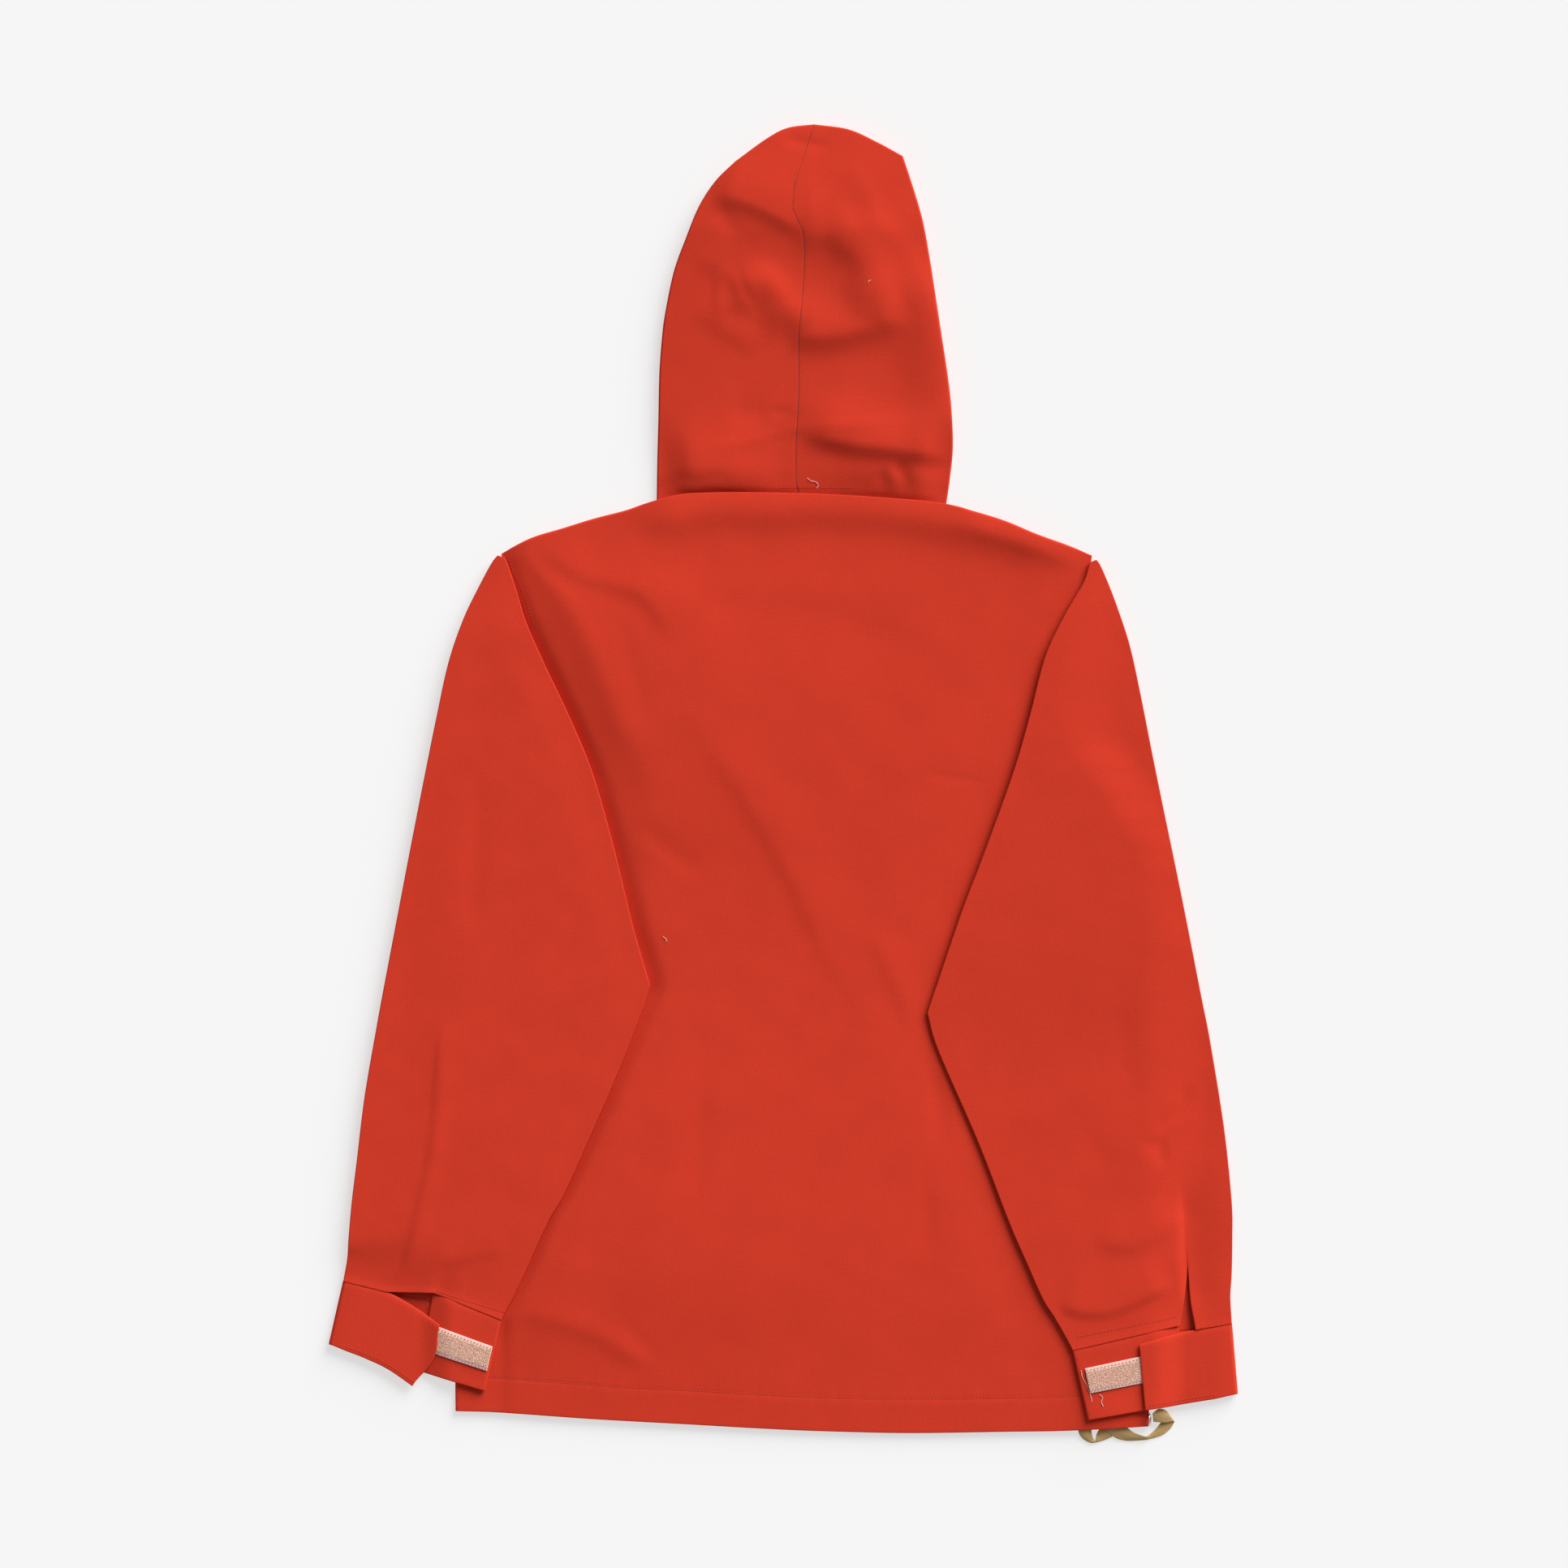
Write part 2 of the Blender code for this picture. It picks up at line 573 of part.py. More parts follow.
class SleeveRow:
    """One ring of a sleeve, over the straight line from its outer to its inner fold."""

    def __init__(self, table, key, sign, cuff):
        outer_x, outer_y, inner_x, inner_y = smooth(table, key, (SLEEVE_CORNER,))
        self.sign = sign
        self.cuff = cuff
        self.outer = Vector((outer_x, outer_y))
        self.inner = Vector((inner_x, inner_y))
        self.length = (self.inner - self.outer).length
        self.direction = (self.inner - self.outer) / self.length
        end = Vector(cuff.seam_outer) + Vector(cuff.seam_inner)
        self.above_cuff = ((self.outer + self.inner) - end).length / 2
        self.crossing = halving(0.0, self.length, self.is_outside)
        self.crossing_y = (self.outer + self.direction * self.crossing).y

    def is_outside(self, along):
        """Whether a point along the row lies outside the body's side or armhole."""
        x, y = self.outer + self.direction * along
        return (x - side_x(y, self.sign)) * self.sign > 0

    def loft(self, past_vent, cuff_to_tip):
        """Height of the upper layer over the lower one, on either side of the vent."""
        at_cuff = TAB_LOFT if past_vent else UNDERLAP_LOFT
        near_tip = ease(cuff_to_tip - TIP_RAMP, cuff_to_tip, self.above_cuff)
        full = mix(SLEEVE_LOFT, TIP_LOFT, near_tip)
        return mix(at_cuff, full, ease(0, VENT_LENGTH, self.above_cuff))


def add_sleeve(name, table, cuff):
    """A sleeve: a tube open at the cuff and, above the underarm, along the armhole."""
    sign = cuff.side_sign
    keyed = numbered(table)
    top_key = len(table) - 1

    def is_below_underarm(key):
        return SleeveRow(keyed, key, sign, cuff).crossing_y < UNDERARM_Y - UNDERARM_DROP

    underarm_key = halving(0.0, float(top_key), is_below_underarm)
    keys = [SLEEVE_CORNER * number / FOREARM_ROWS for number in range(FOREARM_ROWS)]
    keys += [mix(SLEEVE_CORNER, underarm_key, number / UPPER_ARM_ROWS)
             for number in range(UPPER_ARM_ROWS + 1)]
    rows_below = len(keys) - 1
    for number in range(1, ARMHOLE_ROWS + 1):
        share = number / ARMHOLE_ROWS
        keys.append(mix(underarm_key, top_key, share * mix(ARMHOLE_SPACING, 1.0, share)))
    rings = [SleeveRow(keyed, key, sign, cuff) for key in keys]
    cuff_to_tip = rings[-1].above_cuff

    starts = []
    column = 0
    for _, cells in SLEEVE_RING:
        starts.append(column)
        column += cells
    columns = column
    vent_column = starts[2] + VENT_STOP
    vent_rows = sum(1 for ring in rings if ring.above_cuff < VENT_LENGTH)

    def place(column, row, past_cut):
        ring = rings[row]
        is_open = row > rows_below
        stretch = max(number for number in range(len(starts)) if column >= starts[number])
        step = column - starts[stretch]
        cells = SLEEVE_RING[stretch][1]

        def ends(along):
            x, y = ring.outer + ring.direction * along
            return x, y

        def heights(along, past_vent):
            x, y = ends(along)
            if not is_open:
                lower = lower_closed(x, y, sign)
            elif stretch in (3, 4):
                lower = lower_outside(x, y, sign)
            else:
                lower = lower_on_body(x, y)
            folds = fold_height(SLEEVE_FOLDS, x, y)
            return lower, upper_base(x, y, sign) + ring.loft(past_vent, cuff_to_tip) + folds

        lower_inner, upper_inner = heights(ring.length, False)
        lower_outer, upper_outer = heights(0.0, True)
        inner_radius = (upper_inner - lower_inner) / 2
        outer_radius = (upper_outer - lower_outer) / 2
        inner_stop = ring.length - inner_radius
        outer_stop = outer_radius
        if is_open:
            lapped = ease(0, ARMHOLE_LAP_RAMP, ring.crossing_y - UNDERARM_Y)
            lap = SEAM_LAP if stretch < 4 else mix(-SEAM_LAP, SEAM_LAP, lapped)
            seam = ring.crossing + lap
        else:
            seam = ring.crossing - SEAM_OUTSET
        seam = min(max(seam, outer_stop + SEAM_MARGIN), inner_stop - SEAM_MARGIN)

        if stretch == 0:
            reach = inner_stop - seam
            near = [min(stop, number * reach / cells) for number, stop in enumerate(SEAM_STOPS)]
            last = len(near) - 1
            if step <= last:
                along = seam + near[step]
            else:
                along = mix(seam + near[last], inner_stop, (step - last) / (cells - last))
            share = 0.0
        elif stretch == 1:
            turn = pi * step / cells
            along = inner_stop + inner_radius * sin(turn)
            share = (1 - cos(turn)) / 2
        elif stretch == 2:
            along = mix(inner_stop, outer_stop, UPPER_STOPS[step])
            share = 1.0
        elif stretch == 3:
            turn = pi * step / cells
            along = outer_stop - outer_radius * sin(turn)
            share = (1 + cos(turn)) / 2
        else:
            along = mix(outer_stop, seam, step / cells)
            share = 0.0

        past_vent = past_cut or column > vent_column
        x, y = ends(along)
        if stretch in (1, 3):
            lower, upper = (lower_inner, upper_inner) if stretch == 1 else (lower_outer, upper_outer)
        else:
            lower, upper = heights(along, past_vent)
        if column == vent_column and past_cut:
            spread = VENT_SPREAD * (1 - ring.above_cuff / VENT_LENGTH)
            x, y = ends(along - max(spread, 0.0))
        if share == 1.0 and not past_vent:
            near_vent = (1 - along / ring.length) / VENT_SHARE
            y += cuff.vent_rise * near_vent * (1 - ease(0, VENT_LENGTH, ring.above_cuff))
        return x, y, mix(lower, upper, share)

    return add_sheet(name, "shell_cloth", columns, len(rings) - 1, place,
                     slit=(vent_column, vent_rows))


# ---------------------------------------------------------------- cuffs

def between(start, end, share):
    """Point on the line from start to end."""
    return mix(start[0], end[0], share), mix(start[1], end[1], share)


def cuff_point(cuff, along, down, loft, rise=0.0):
    """Point of a cuff layer: along from the outer to the inner fold, down from the seam."""
    top = between(cuff.seam_outer, cuff.seam_inner, along)
    low = between(cuff.low_outer, cuff.low_inner, along)
    x, y = between(top, low, down)
    y += rise * (1 - down) - CUFF_CLEARANCE
    return x, y, lower_closed(x, y, cuff.side_sign) + loft


def underlap_point(cuff, along, down, above=0.0):
    """Point of a cuff's underlap, above it where asked."""
    rise = cuff.vent_rise * (1 - along) / VENT_SHARE
    return cuff_point(cuff, along, down, UNDERLAP_LOFT + above, rise)


def underlap_station(station):
    """Share of the cuff's length at a station of the underlap, from the inner fold."""
    return mix(1 - UNDERLAP_LOFT / 2 / CUFF_LENGTH, UNDERLAP_END, station / UNDERLAP_CELLS)


def add_cuff(name, cuff):
    """A cuff band: free tab, outer fold, lower layer, inner fold, underlap ending under the tab."""
    tab = numbered(cuff.tab)
    columns = TAB_CELLS + CUFF_FOLD_CELLS + CUFF_LOWER_CELLS + CUFF_FOLD_CELLS + UNDERLAP_CELLS
    downs = (0.0, cuff.tape_high, cuff.tape_low, 1.0)

    def fold_point(along, down, turn, loft, outwards):
        """Point of a half round fold about the end of the lower layer."""
        x, y, low = cuff_point(cuff, along, down, 0.0)
        radius = loft / 2
        inwards = Vector(cuff.seam_inner) - Vector(cuff.seam_outer)
        inwards.normalize()
        shift = radius * (1 - sin(turn)) * (1 if outwards else -1)
        return x + inwards.x * shift, y + inwards.y * shift, low + loft * (1 + cos(turn)) / 2

    def place(column, row, _):
        down = downs[row]
        if column < TAB_CELLS:
            top_x, top_y, low_x, low_y = smooth(tab, column / TAB_CELLS * len(cuff.tab))
            x, y = between((top_x, top_y), (low_x, low_y), down)
            y -= CUFF_CLEARANCE
            return x, y, lower_closed(x, y, cuff.side_sign) + TAB_LOFT
        step = column - TAB_CELLS
        if step <= CUFF_FOLD_CELLS:
            return fold_point(0.0, down, pi * step / CUFF_FOLD_CELLS, TAB_LOFT, True)
        step -= CUFF_FOLD_CELLS
        if step < CUFF_LOWER_CELLS:
            along = mix(TAB_LOFT / 2 / CUFF_LENGTH, underlap_station(0), step / CUFF_LOWER_CELLS)
            return cuff_point(cuff, along, down, 0.0)
        step -= CUFF_LOWER_CELLS
        if step <= CUFF_FOLD_CELLS:
            turn = pi * (1 - step / CUFF_FOLD_CELLS)
            return fold_point(1.0, down, turn, UNDERLAP_LOFT, False)
        step -= CUFF_FOLD_CELLS
        return underlap_point(cuff, underlap_station(step), down)

    return add_sheet(name, "shell_cloth", columns, len(downs) - 1, place)


def add_loop_tape(name, cuff):
    """Loop tape sewn flat on a cuff's underlap."""
    first, last = cuff.tape_stations
    above = WALL / 2 + TAPE_GAP + TAPE_THICK / 2

    def place(column, row, _):
        down = (cuff.tape_high, cuff.tape_low)[row]
        return underlap_point(cuff, underlap_station(first + column), down, above)

    return add_sheet(name, "loop_tape", last - first, 1, place, wall=TAPE_THICK)


# ---------------------------------------------------------------- hood

def hood_upper(x, y):
    """Height of the hood's upper layer, lower where the back panel covers it."""
    clear = ease(*COVER_RAMP, y - shoulder_y(x))
    return mix(HOOD_BASE_LEVEL, HOOD_LEVEL, clear) + fold_height(HOOD_FOLDS, x, y) * clear


def hood_lower(x, y):
    """Height of the hood's lower layer: on the surface, or lapped on the front panel."""
    return mix(LAP_LEVEL, FLOOR_LEVEL, ease(*UNDER_RAMP, y - shoulder_y(x)))


def add_hood_half(name, sign):
    """One half of the hood, from the centre seam round the outline to the face opening."""
    keyed = numbered(HOOD)
    starts = []
    column = 0
    for _, cells in HOOD_RING:
        starts.append(column)
        column += cells
    columns = column
    rows = HOOD_SIDE_ROWS + HOOD_CROWN_ROWS
    keys = [HOOD_CORNER * number / HOOD_SIDE_ROWS for number in range(HOOD_SIDE_ROWS)]
    keys += [mix(HOOD_CORNER, len(HOOD) - 1, number / HOOD_CROWN_ROWS)
             for number in range(HOOD_CROWN_ROWS + 1)]

    def row_points(key):
        seam_x, seam_y, left_x, left_y, right_x, right_y, face_y, face_half = smooth(
            keyed, key, (HOOD_CORNER,))
        edge = Vector((left_x, left_y)) if sign < 0 else Vector((right_x, right_y))
        seam = Vector((seam_x, seam_y))
        face = Vector((NECK_CENTRE_X + sign * face_half, face_y))
        if key > FACE_END_ROW:
            face = Vector((seam_x, face_y))
        return seam, edge, face

    first_edge = row_points(0)[1]
    first_face = row_points(0)[2]

    def place(column, row, _):
        key = keys[row]
        seam, edge, face = row_points(key)
        inwards = (seam - edge).normalized()
        sideways = Vector((-inwards.y, inwards.x))
        if sideways.x * sign < 0:
            sideways = -sideways
        stretch = max(number for number in range(len(starts)) if column >= starts[number])
        step = column - starts[stretch]
        cells = HOOD_RING[stretch][1]
        upper = hood_upper(edge.x, edge.y)
        lower = hood_lower(edge.x, edge.y)
        radius = (upper - lower) / 2
        seam_shift = HOOD_SEAM_HALF * sideways if row == rows else Vector((0.0, 0.0))
        if stretch == 0:
            start = seam.copy()
            if row < rows:
                start.x += sign * HOOD_SEAM_HALF
            else:
                start += seam_shift
            flat = start.lerp(edge + inwards * radius + seam_shift, step / cells)
            return flat.x, flat.y, hood_upper(flat.x, flat.y)
        if stretch == 1:
            turn = pi * step / cells
            flat = edge + inwards * radius * (1 - sin(turn)) + seam_shift
            return flat.x, flat.y, mix(lower, upper, (1 + cos(turn)) / 2)
        share = step / cells
        flat = (edge + inwards * radius + seam_shift).lerp(face + seam_shift, share)
        # the lowest rows bend down to the front neckline and lap over it
        bend = 1 - ease(0, NECK_BEND_ROWS if share < 1 else FACE_BEND_ROWS, key)
        straight = first_edge.lerp(first_face, share)
        turn = share * pi / 2
        neck_x = mix(first_edge.x, first_face.x, 1 - cos(turn))
        neck = Vector((neck_x, neckline_y(neck_x) - HOOD_NECK_LAP * sin(turn)))
        flat += (neck - straight) * bend
        return flat.x, flat.y, hood_lower(flat.x, flat.y)

    return add_sheet(name, "shell_cloth", columns, rows, place)


# ---------------------------------------------------------------- trims

def add_eyelet():
    """Metal eyelet: a flattened ring, turned on to the side fold."""
    bpy.ops.mesh.primitive_torus_add(
        major_segments=20, minor_segments=8,
        major_radius=(EYELET_RADIUS + EYELET_HOLE_RADIUS) / 2 * MM,
        minor_radius=(EYELET_RADIUS - EYELET_HOLE_RADIUS) / 2 * MM)
    piece = bpy.context.object
    for vertex in piece.data.vertices:
        vertex.co.z *= EYELET_THICK / (EYELET_RADIUS - EYELET_HOLE_RADIUS)
    piece.data.transform(Matrix.Rotation(EYELET_TILT, 4, "Y"))
    mesh = piece.data
    bpy.data.objects.remove(piece)
    piece = add_object("eyelet", mesh, "eyelet_metal")
    piece.location = Vector(EYELET_CENTRE) * MM
    mesh.shade_smooth()
    return piece


def add_drawcord():
    """Flat drawcord tape along its route."""
    keyed = numbered(CORD_ROUTE)
    columns = (len(CORD_ROUTE) - 1) * CORD_STEPS_PER_STRETCH

    def place(column, row, _):
        key = column / CORD_STEPS_PER_STRETCH
        x, y, z = smooth(keyed, key)
        before = Vector(smooth(keyed, key - CORD_STEP))
        after = Vector(smooth(keyed, key + CORD_STEP))
        ahead = after - before
        ahead.z = 0.0
        ahead.normalize()
        shift = (row / CORD_ROWS - 0.5) * CORD_WIDTH
        return x - ahead.y * shift, y + ahead.x * shift, z

    return add_sheet("drawcord", "drawcord_tape", columns, CORD_ROWS, place, wall=CORD_THICK)


def main():
    """Build the whole garment."""
    clear_scene()
    collection = bpy.data.collections.new("anorak_pullover")
    bpy.context.scene.collection.children.link(collection)
    add_front()
    add_back()
    add_sleeve("sleeve_left", LEFT_SLEEVE, LEFT_CUFF)
    add_sleeve("sleeve_right", RIGHT_SLEEVE, RIGHT_CUFF)
    add_cuff("cuff_left", LEFT_CUFF)
    add_cuff("cuff_right", RIGHT_CUFF)
    add_loop_tape("loop_tape_left", LEFT_CUFF)
    add_loop_tape("loop_tape_right", RIGHT_CUFF)
    add_hood_half("hood_left", -1)
    add_hood_half("hood_right", 1)
    add_eyelet()
    add_drawcord()


main()
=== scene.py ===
"""Anorak pullover laid flat on its front: cloth, sewing, trims, floor, light and camera.

Units in the tables are millimetres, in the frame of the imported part: +X is the wearer's right,
+Y points to the hood, +Z is up, and the garment rests on z = 0. Every cloth piece is a grid of
points on its solid's form, with the creases of the tables below pressed into it.
"""
from collections import namedtuple
from math import cos, pi, radians, sin

import bmesh
import bpy
import numpy as np
from bpy.props import FloatProperty, FloatVectorProperty, IntProperty
from mathutils import Matrix, Vector
from mathutils.bvhtree import BVHTree
from mathutils.kdtree import KDTree


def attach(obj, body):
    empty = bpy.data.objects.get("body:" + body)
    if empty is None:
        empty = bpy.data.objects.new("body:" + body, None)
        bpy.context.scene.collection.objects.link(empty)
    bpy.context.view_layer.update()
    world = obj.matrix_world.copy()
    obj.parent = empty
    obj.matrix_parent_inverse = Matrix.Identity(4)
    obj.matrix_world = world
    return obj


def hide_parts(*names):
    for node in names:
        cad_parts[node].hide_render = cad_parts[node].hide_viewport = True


bl_info = {
    "name": "Anorak Pullover",
    "version": (1, 0, 0),
    "blender": (4, 5, 0),
    "location": "3D View > Sidebar > Anorak",
    "description": "Cloth, sewing and trims of an anorak pullover laid flat",
    "category": "Add Mesh",
}

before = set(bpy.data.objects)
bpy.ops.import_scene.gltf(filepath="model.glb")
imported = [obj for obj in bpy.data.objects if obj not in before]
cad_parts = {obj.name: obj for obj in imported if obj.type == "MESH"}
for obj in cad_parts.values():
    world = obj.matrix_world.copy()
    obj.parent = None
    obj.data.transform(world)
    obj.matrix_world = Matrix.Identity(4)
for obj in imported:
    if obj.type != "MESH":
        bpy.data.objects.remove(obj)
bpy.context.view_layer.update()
BODY = "root"
MM = 0.001

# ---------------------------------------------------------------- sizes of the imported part

WALL = 1.2
PITCH = WALL + 0.3              # middle to middle of two walls that lie on each other
REST_GAP = 0.5                  # room between the back panel and a sleeve that lies on it
FLOOR_LEVEL = WALL / 2          # height of the middle of a wall on the floor
LAP_LEVEL = FLOOR_LEVEL + PITCH + 0.1  # the same on the front panel
BACK_LEVEL = 3.9                # the same for the back panel, at its hem and at its neck
HEM_LEVEL = 3.5
NECK_LEVEL = 5.8
HOOD_LEVEL = 4.9                # the same for the hood's upper layer, and at the hood's base
HOOD_BASE_LEVEL = 4.0
TIP_LOFT = 2.3                  # from the lower to the upper layer at a sleeve's upper end
UNDERLAP_LOFT = 1.9             # from a cuff's lower layer to its underlap, and to its tab
TAB_LOFT = 4.9
SEAM_LAP = 3.0                  # how far a sleeve laps the armhole's edge
LAP_RAMP = (10.0, 3.0)          # distances outside the armhole where it climbs on to the front

UNDERARM_Y = -31.0
SIDE_ROLL = 2.0                 # width of the roll of the back's side and shoulder edges
SHOULDER_ROLL = 1.0
NECK_LEFT_X = -96.0
NECK_RIGHT_X = 123.0
NECK_CENTRE_X = 12.0
NECK_LINE_Y = 206.0             # height of the front neckline's ends, and its depth below them
NECK_SCOOP = 76.0
HEM_RAMP = (-485.0, -420.0)     # y where the back rises from its hem's level
NECK_RAMP = (120.0, 198.0)      # y, and distances from the neck's centre, where it rises to the neck
NECK_SIDE_RAMP = (170.0, 118.0)
FOLD_FADE = (2.0, 16.0)         # distances from a sleeve's inner fold where its creases come in
UNDERARM_FADE = (2.0, 14.0)     # heights over the underarm where its sides stop rolling down
HOOD_FADE = (20.0, 6.0)         # distances beside the neck where its upper edge stops rolling down
ARMHOLE_FADE = (14.0, 4.0)      # the same, from the outer ends of its shoulders

# x, y along the hem
HEM = (
    (-248, -479), (-216, -480), (-144, -485), (-72, -489), (0, -493), (48, -494.7), (96, -495.6),
    (168, -494.6), (216, -493.8), (276, -490.5),
)
# x, y along the left shoulder, the back neck and the right shoulder
SHOULDERS = (
    (-214.5, 170.5), (-192, 182), (-168, 189.4), (-144, 196.8), (-120, 203), (-96, 211), (-71, 216),
    (12, 216), (85, 212), (123, 208), (144, 202.4), (168, 195), (192, 185), (216, 176.4), (234, 169),
)
# y, left x, right x of the side seams and, above the underarm, of the armholes
SIDES = (
    (-500, -248, 276), (-459, -248.5, 277), (-245, -247, 277), (-31, -246, 276),
    (-16, -222, 243), (6, -204, 219), (37, -194, 206), (67, -191, 204), (98, -194, 209),
    (125, -200, 219), (151, -210, 231), (172, -214, 234),
)
# The hem lifts over the drawcord that is tucked under it: x, y, height, half width
HEM_LIFT = (250, -488, 2.1, 26)

# Sleeves, from the cuff seam up to the shoulder: outer fold x, y, inner fold x, y
LEFT_SLEEVE = (
    (-333, -380, -214, -409), (-330, -363, -201, -384), (-329, -348, -180, -338),
    (-326.5, -320, -167, -315), (-322.7, -289, -151, -280), (-316.7, -240, -127, -225),
    (-307.2, -185, -108, -177), (-303.2, -163, -101.5, -156), (-293.3, -111, -114.5, -111),
    (-282.2, -53, -129.5, -49.5), (-271.2, 3, -145.5, 6), (-262.1, 48, -163, 48),
    (-253.3, 88, -181, 86), (-242.4, 120, -195, 118), (-231, 144, -203, 144),
    (-220.8, 163, -209.5, 163), (-216.2, 169, -211.8, 167.6),
)
RIGHT_SLEEVE = (
    (339, -412, 219, -432), (338, -392, 206, -409), (339, -375, 196.5, -394),
    (339.5, -348, 184, -366), (339, -320, 171, -336), (333.3, -265, 147, -274),
    (322.9, -200, 117, -205), (316.3, -166.5, 109, -177), (302.2, -95, 134.5, -102),
    (289.6, -34, 150.5, -60), (279.2, 17, 173, 2), (269.9, 64, 186, 46), (262, 100, 198, 92),
    (253, 128, 213, 124), (245.4, 148, 227, 148), (239.2, 162, 231, 160),
    (236.4, 165.6, 232, 164),
)
SLEEVE_CORNER = 7               # row of both tables where the inner fold turns
SEAM_OUTSET = 12.0              # below the underarm the seam is this far outside the body's side
UNDERARM_DROP = 4.0             # rings that cross the side up to this far below it are open
LOWER_RAMP = 26.0               # width of the lower layer's climb on to the body
LOWER_OUTSET = 2.0              # it ends this far outside the body's side
UPPER_RAMP = 50.0               # width of the upper layer's climb
UPPER_INSET = 5.0               # it ends this far inside the body's side
DRAPE_STEPS = (-40, -20, 0, 20, 40)  # the upper layer bridges the underarm's corner over these
TIP_RAMP = 60.0                 # length of the taper of a sleeve's upper end
ARMHOLE_LAP_RAMP = 25.0         # above the underarm the lower layer laps the armhole in this height
SEAM_MARGIN = 0.8               # least distance from the seam to a fold
VENT_LENGTH = 60.0
FLAP_START = 0.27               # share from the outer fold where a closed vent's edge lifts
FLAP_RISE = 27.0                # how far it rises for each share
UNDERLAP_EDGE = 0.06            # half width, as a share, of the step at the underlap's end

# vent_share is where the vent is, from the inner to the outer fold, vent_gap how far it gapes at
# the cuff and underlap_end where the underlap ends, from the outer to the inner fold
Cuff = namedtuple("Cuff", "side_sign seam_outer seam_inner low_outer low_inner vent_rise vent_share"
                          " vent_gap underlap_end tape_stations tape_high tape_low tab_bulge tab")
# Each tab: top edge x, y, low edge x, y, from its free end to the outer fold
LEFT_CUFF = Cuff(
    side_sign=-1, seam_outer=(-333, -380), seam_inner=(-214, -409),
    low_outer=(-344, -428.5), low_inner=(-226.5, -463.5), vent_rise=14.0,
    vent_share=0.74, vent_gap=0.0, underlap_end=0.57,
    tape_stations=(0.1, 11.4), tape_high=0.39, tape_low=0.73, tab_bulge=6.5,
    tab=(
        (-260, -413.5, -281, -460), (-280, -399.5, -300, -447), (-301, -388, -318, -438.5),
        (-316.5, -384.1, -331, -433.5),
    ),
)
RIGHT_CUFF = Cuff(
    side_sign=1, seam_outer=(339, -412), seam_inner=(219, -432),
    low_outer=(343.5, -466), low_inner=(231, -485.5), vent_rise=6.0,
    vent_share=0.775, vent_gap=12.0, underlap_end=0.335,
    tape_stations=(0.7, 8), tape_high=0.29, tape_low=0.64, tab_bulge=0.0,
    tab=(
        (269, -428, 273.5, -478), (289, -422.3, 291, -475.5), (309, -417.8, 309, -472.5),
        (325, -415.1, 326, -469.8),
    ),
)
CUFF_LENGTH = 120.0
UNDERLAP_CELLS = 12             # stations along an underlap, from the inner fold to its end
CUFF_DEPTH = 49.0
TAB_LENGTH = 60.0
UNDERLAP_LENGTH = 75.0
CUFF_CELL = 2.4                 # size of a cell of a cuff's cloth
CUFF_UNDER_COLUMNS = 16
CUFF_WAVE = 0.16                # height of the cuffs' slow waves, and their length for each radian
CUFF_WAVE_LENGTH = 13.0
CUFF_DIP = 0.5                  # depth and width of the dip at a cuff's sewn edge
CUFF_DIP_WIDTH = 1.1
TAPE_WIDTH = 18.0
TAPE_CELL = 1.6                 # size of a cell of a tape
TAPE_STITCHES = (1.6, TAPE_WIDTH - 1.6)  # where it is sewn across its width
TAPE_MAP_LENGTH = 77.0          # length of its cloth map for a whole underlap
TAPE_WALL = 0.9
TAPE_LIFT = WALL / 2 + 0.75     # from the underlap's middle to the tape's
PILE_STAND = 0.3                # how far the piled middle stands over the woven edges
PILE_EDGE = (1.3, 2.2)          # distances from a tape's edge where it rises
PILE_INSET = 8                  # rows of a tape's points outside its pile, at each edge
PILE_BED_WALL = 0.02
PILE_DENSITY = 1900000.0        # loops for each square metre

# Hood: the centre seam, the left and right outlines, then the face opening's y and half width:
# x, y, x, y, x, y, y, half width
HOOD = (
    (11.5, 204, -95.8, 203, 122, 203, 126, 12),
    (9.5, 227, -95.3, 240, 125.5, 227, 166, 14),
    (9.5, 255, -94.5, 270, 127.8, 252, 203, 15),
    (11.5, 289, -93.7, 307, 126.4, 283, 246, 15),
    (11.5, 319, -91.6, 335, 123.6, 307, 283, 15),
    (12, 341, -89.2, 353, 118.4, 341, 313, 14),
    (14.5, 369, -82.7, 384, 114.1, 369, 344, 12),
    (15.7, 393, -73.7, 409, 110.4, 393, 375, 9),
    (15, 412, -63.8, 433, 105.3, 421, 400, 5),
    (10, 423, -51.5, 452, 98.8, 444, 415, 1.5),
    (7, 429, -36.3, 467, 90, 471, 424, 0.3),
    (7, 437, -13, 484, 70.5, 481.6, 433, 0.3),
    (7.7, 443, 3, 492.3, 49, 491.2, 441, 0.3),
    (8.3, 450, 23, 495, 23, 495, 449, 0.3),
)
HOOD_CORNER = 10                # row where the outline turns
FACE_END_ROW = 9                # above this row the face opening has no width
NECK_BEND_ROWS = 7              # rows in which the lower layer's base follows the front neckline
FACE_BEND_ROWS = 0.5            # the same at the face opening's edge
HOOD_NECK_LAP = SEAM_LAP + 1.0  # how far the lower layer laps the front neckline
NECK_SEWN = (3.0, 8.0)          # how far inside the neck the hood rises to be sewn to the back
HOOD_FLOOR = 3.4                # no fold takes the hood's upper layer below this
COVER_RAMP = (6.0, 20.0)        # distances above the neck where the upper layer leaves its base level
UNDER_RAMP = (2.0, 10.0)        # distances above the neck where the lower layer sinks to the floor
NECK_CREASE_SHARE = 0.35        # share of their height that creases keep near the neck
NECK_CREASE_RAMP = 8.0          # distance above the neck in which they reach that share
NECK_EDGE_RAMP = 26.0           # near the neck the hood rises from its outline over this width
NECK_STEP = 0.5                 # half width of the step at the front neckline's ends
HOOD_HALF_WIDTH = 110.0         # lengths that the hood's upper and lower layers are divided for
HOOD_UNDER = 60.0

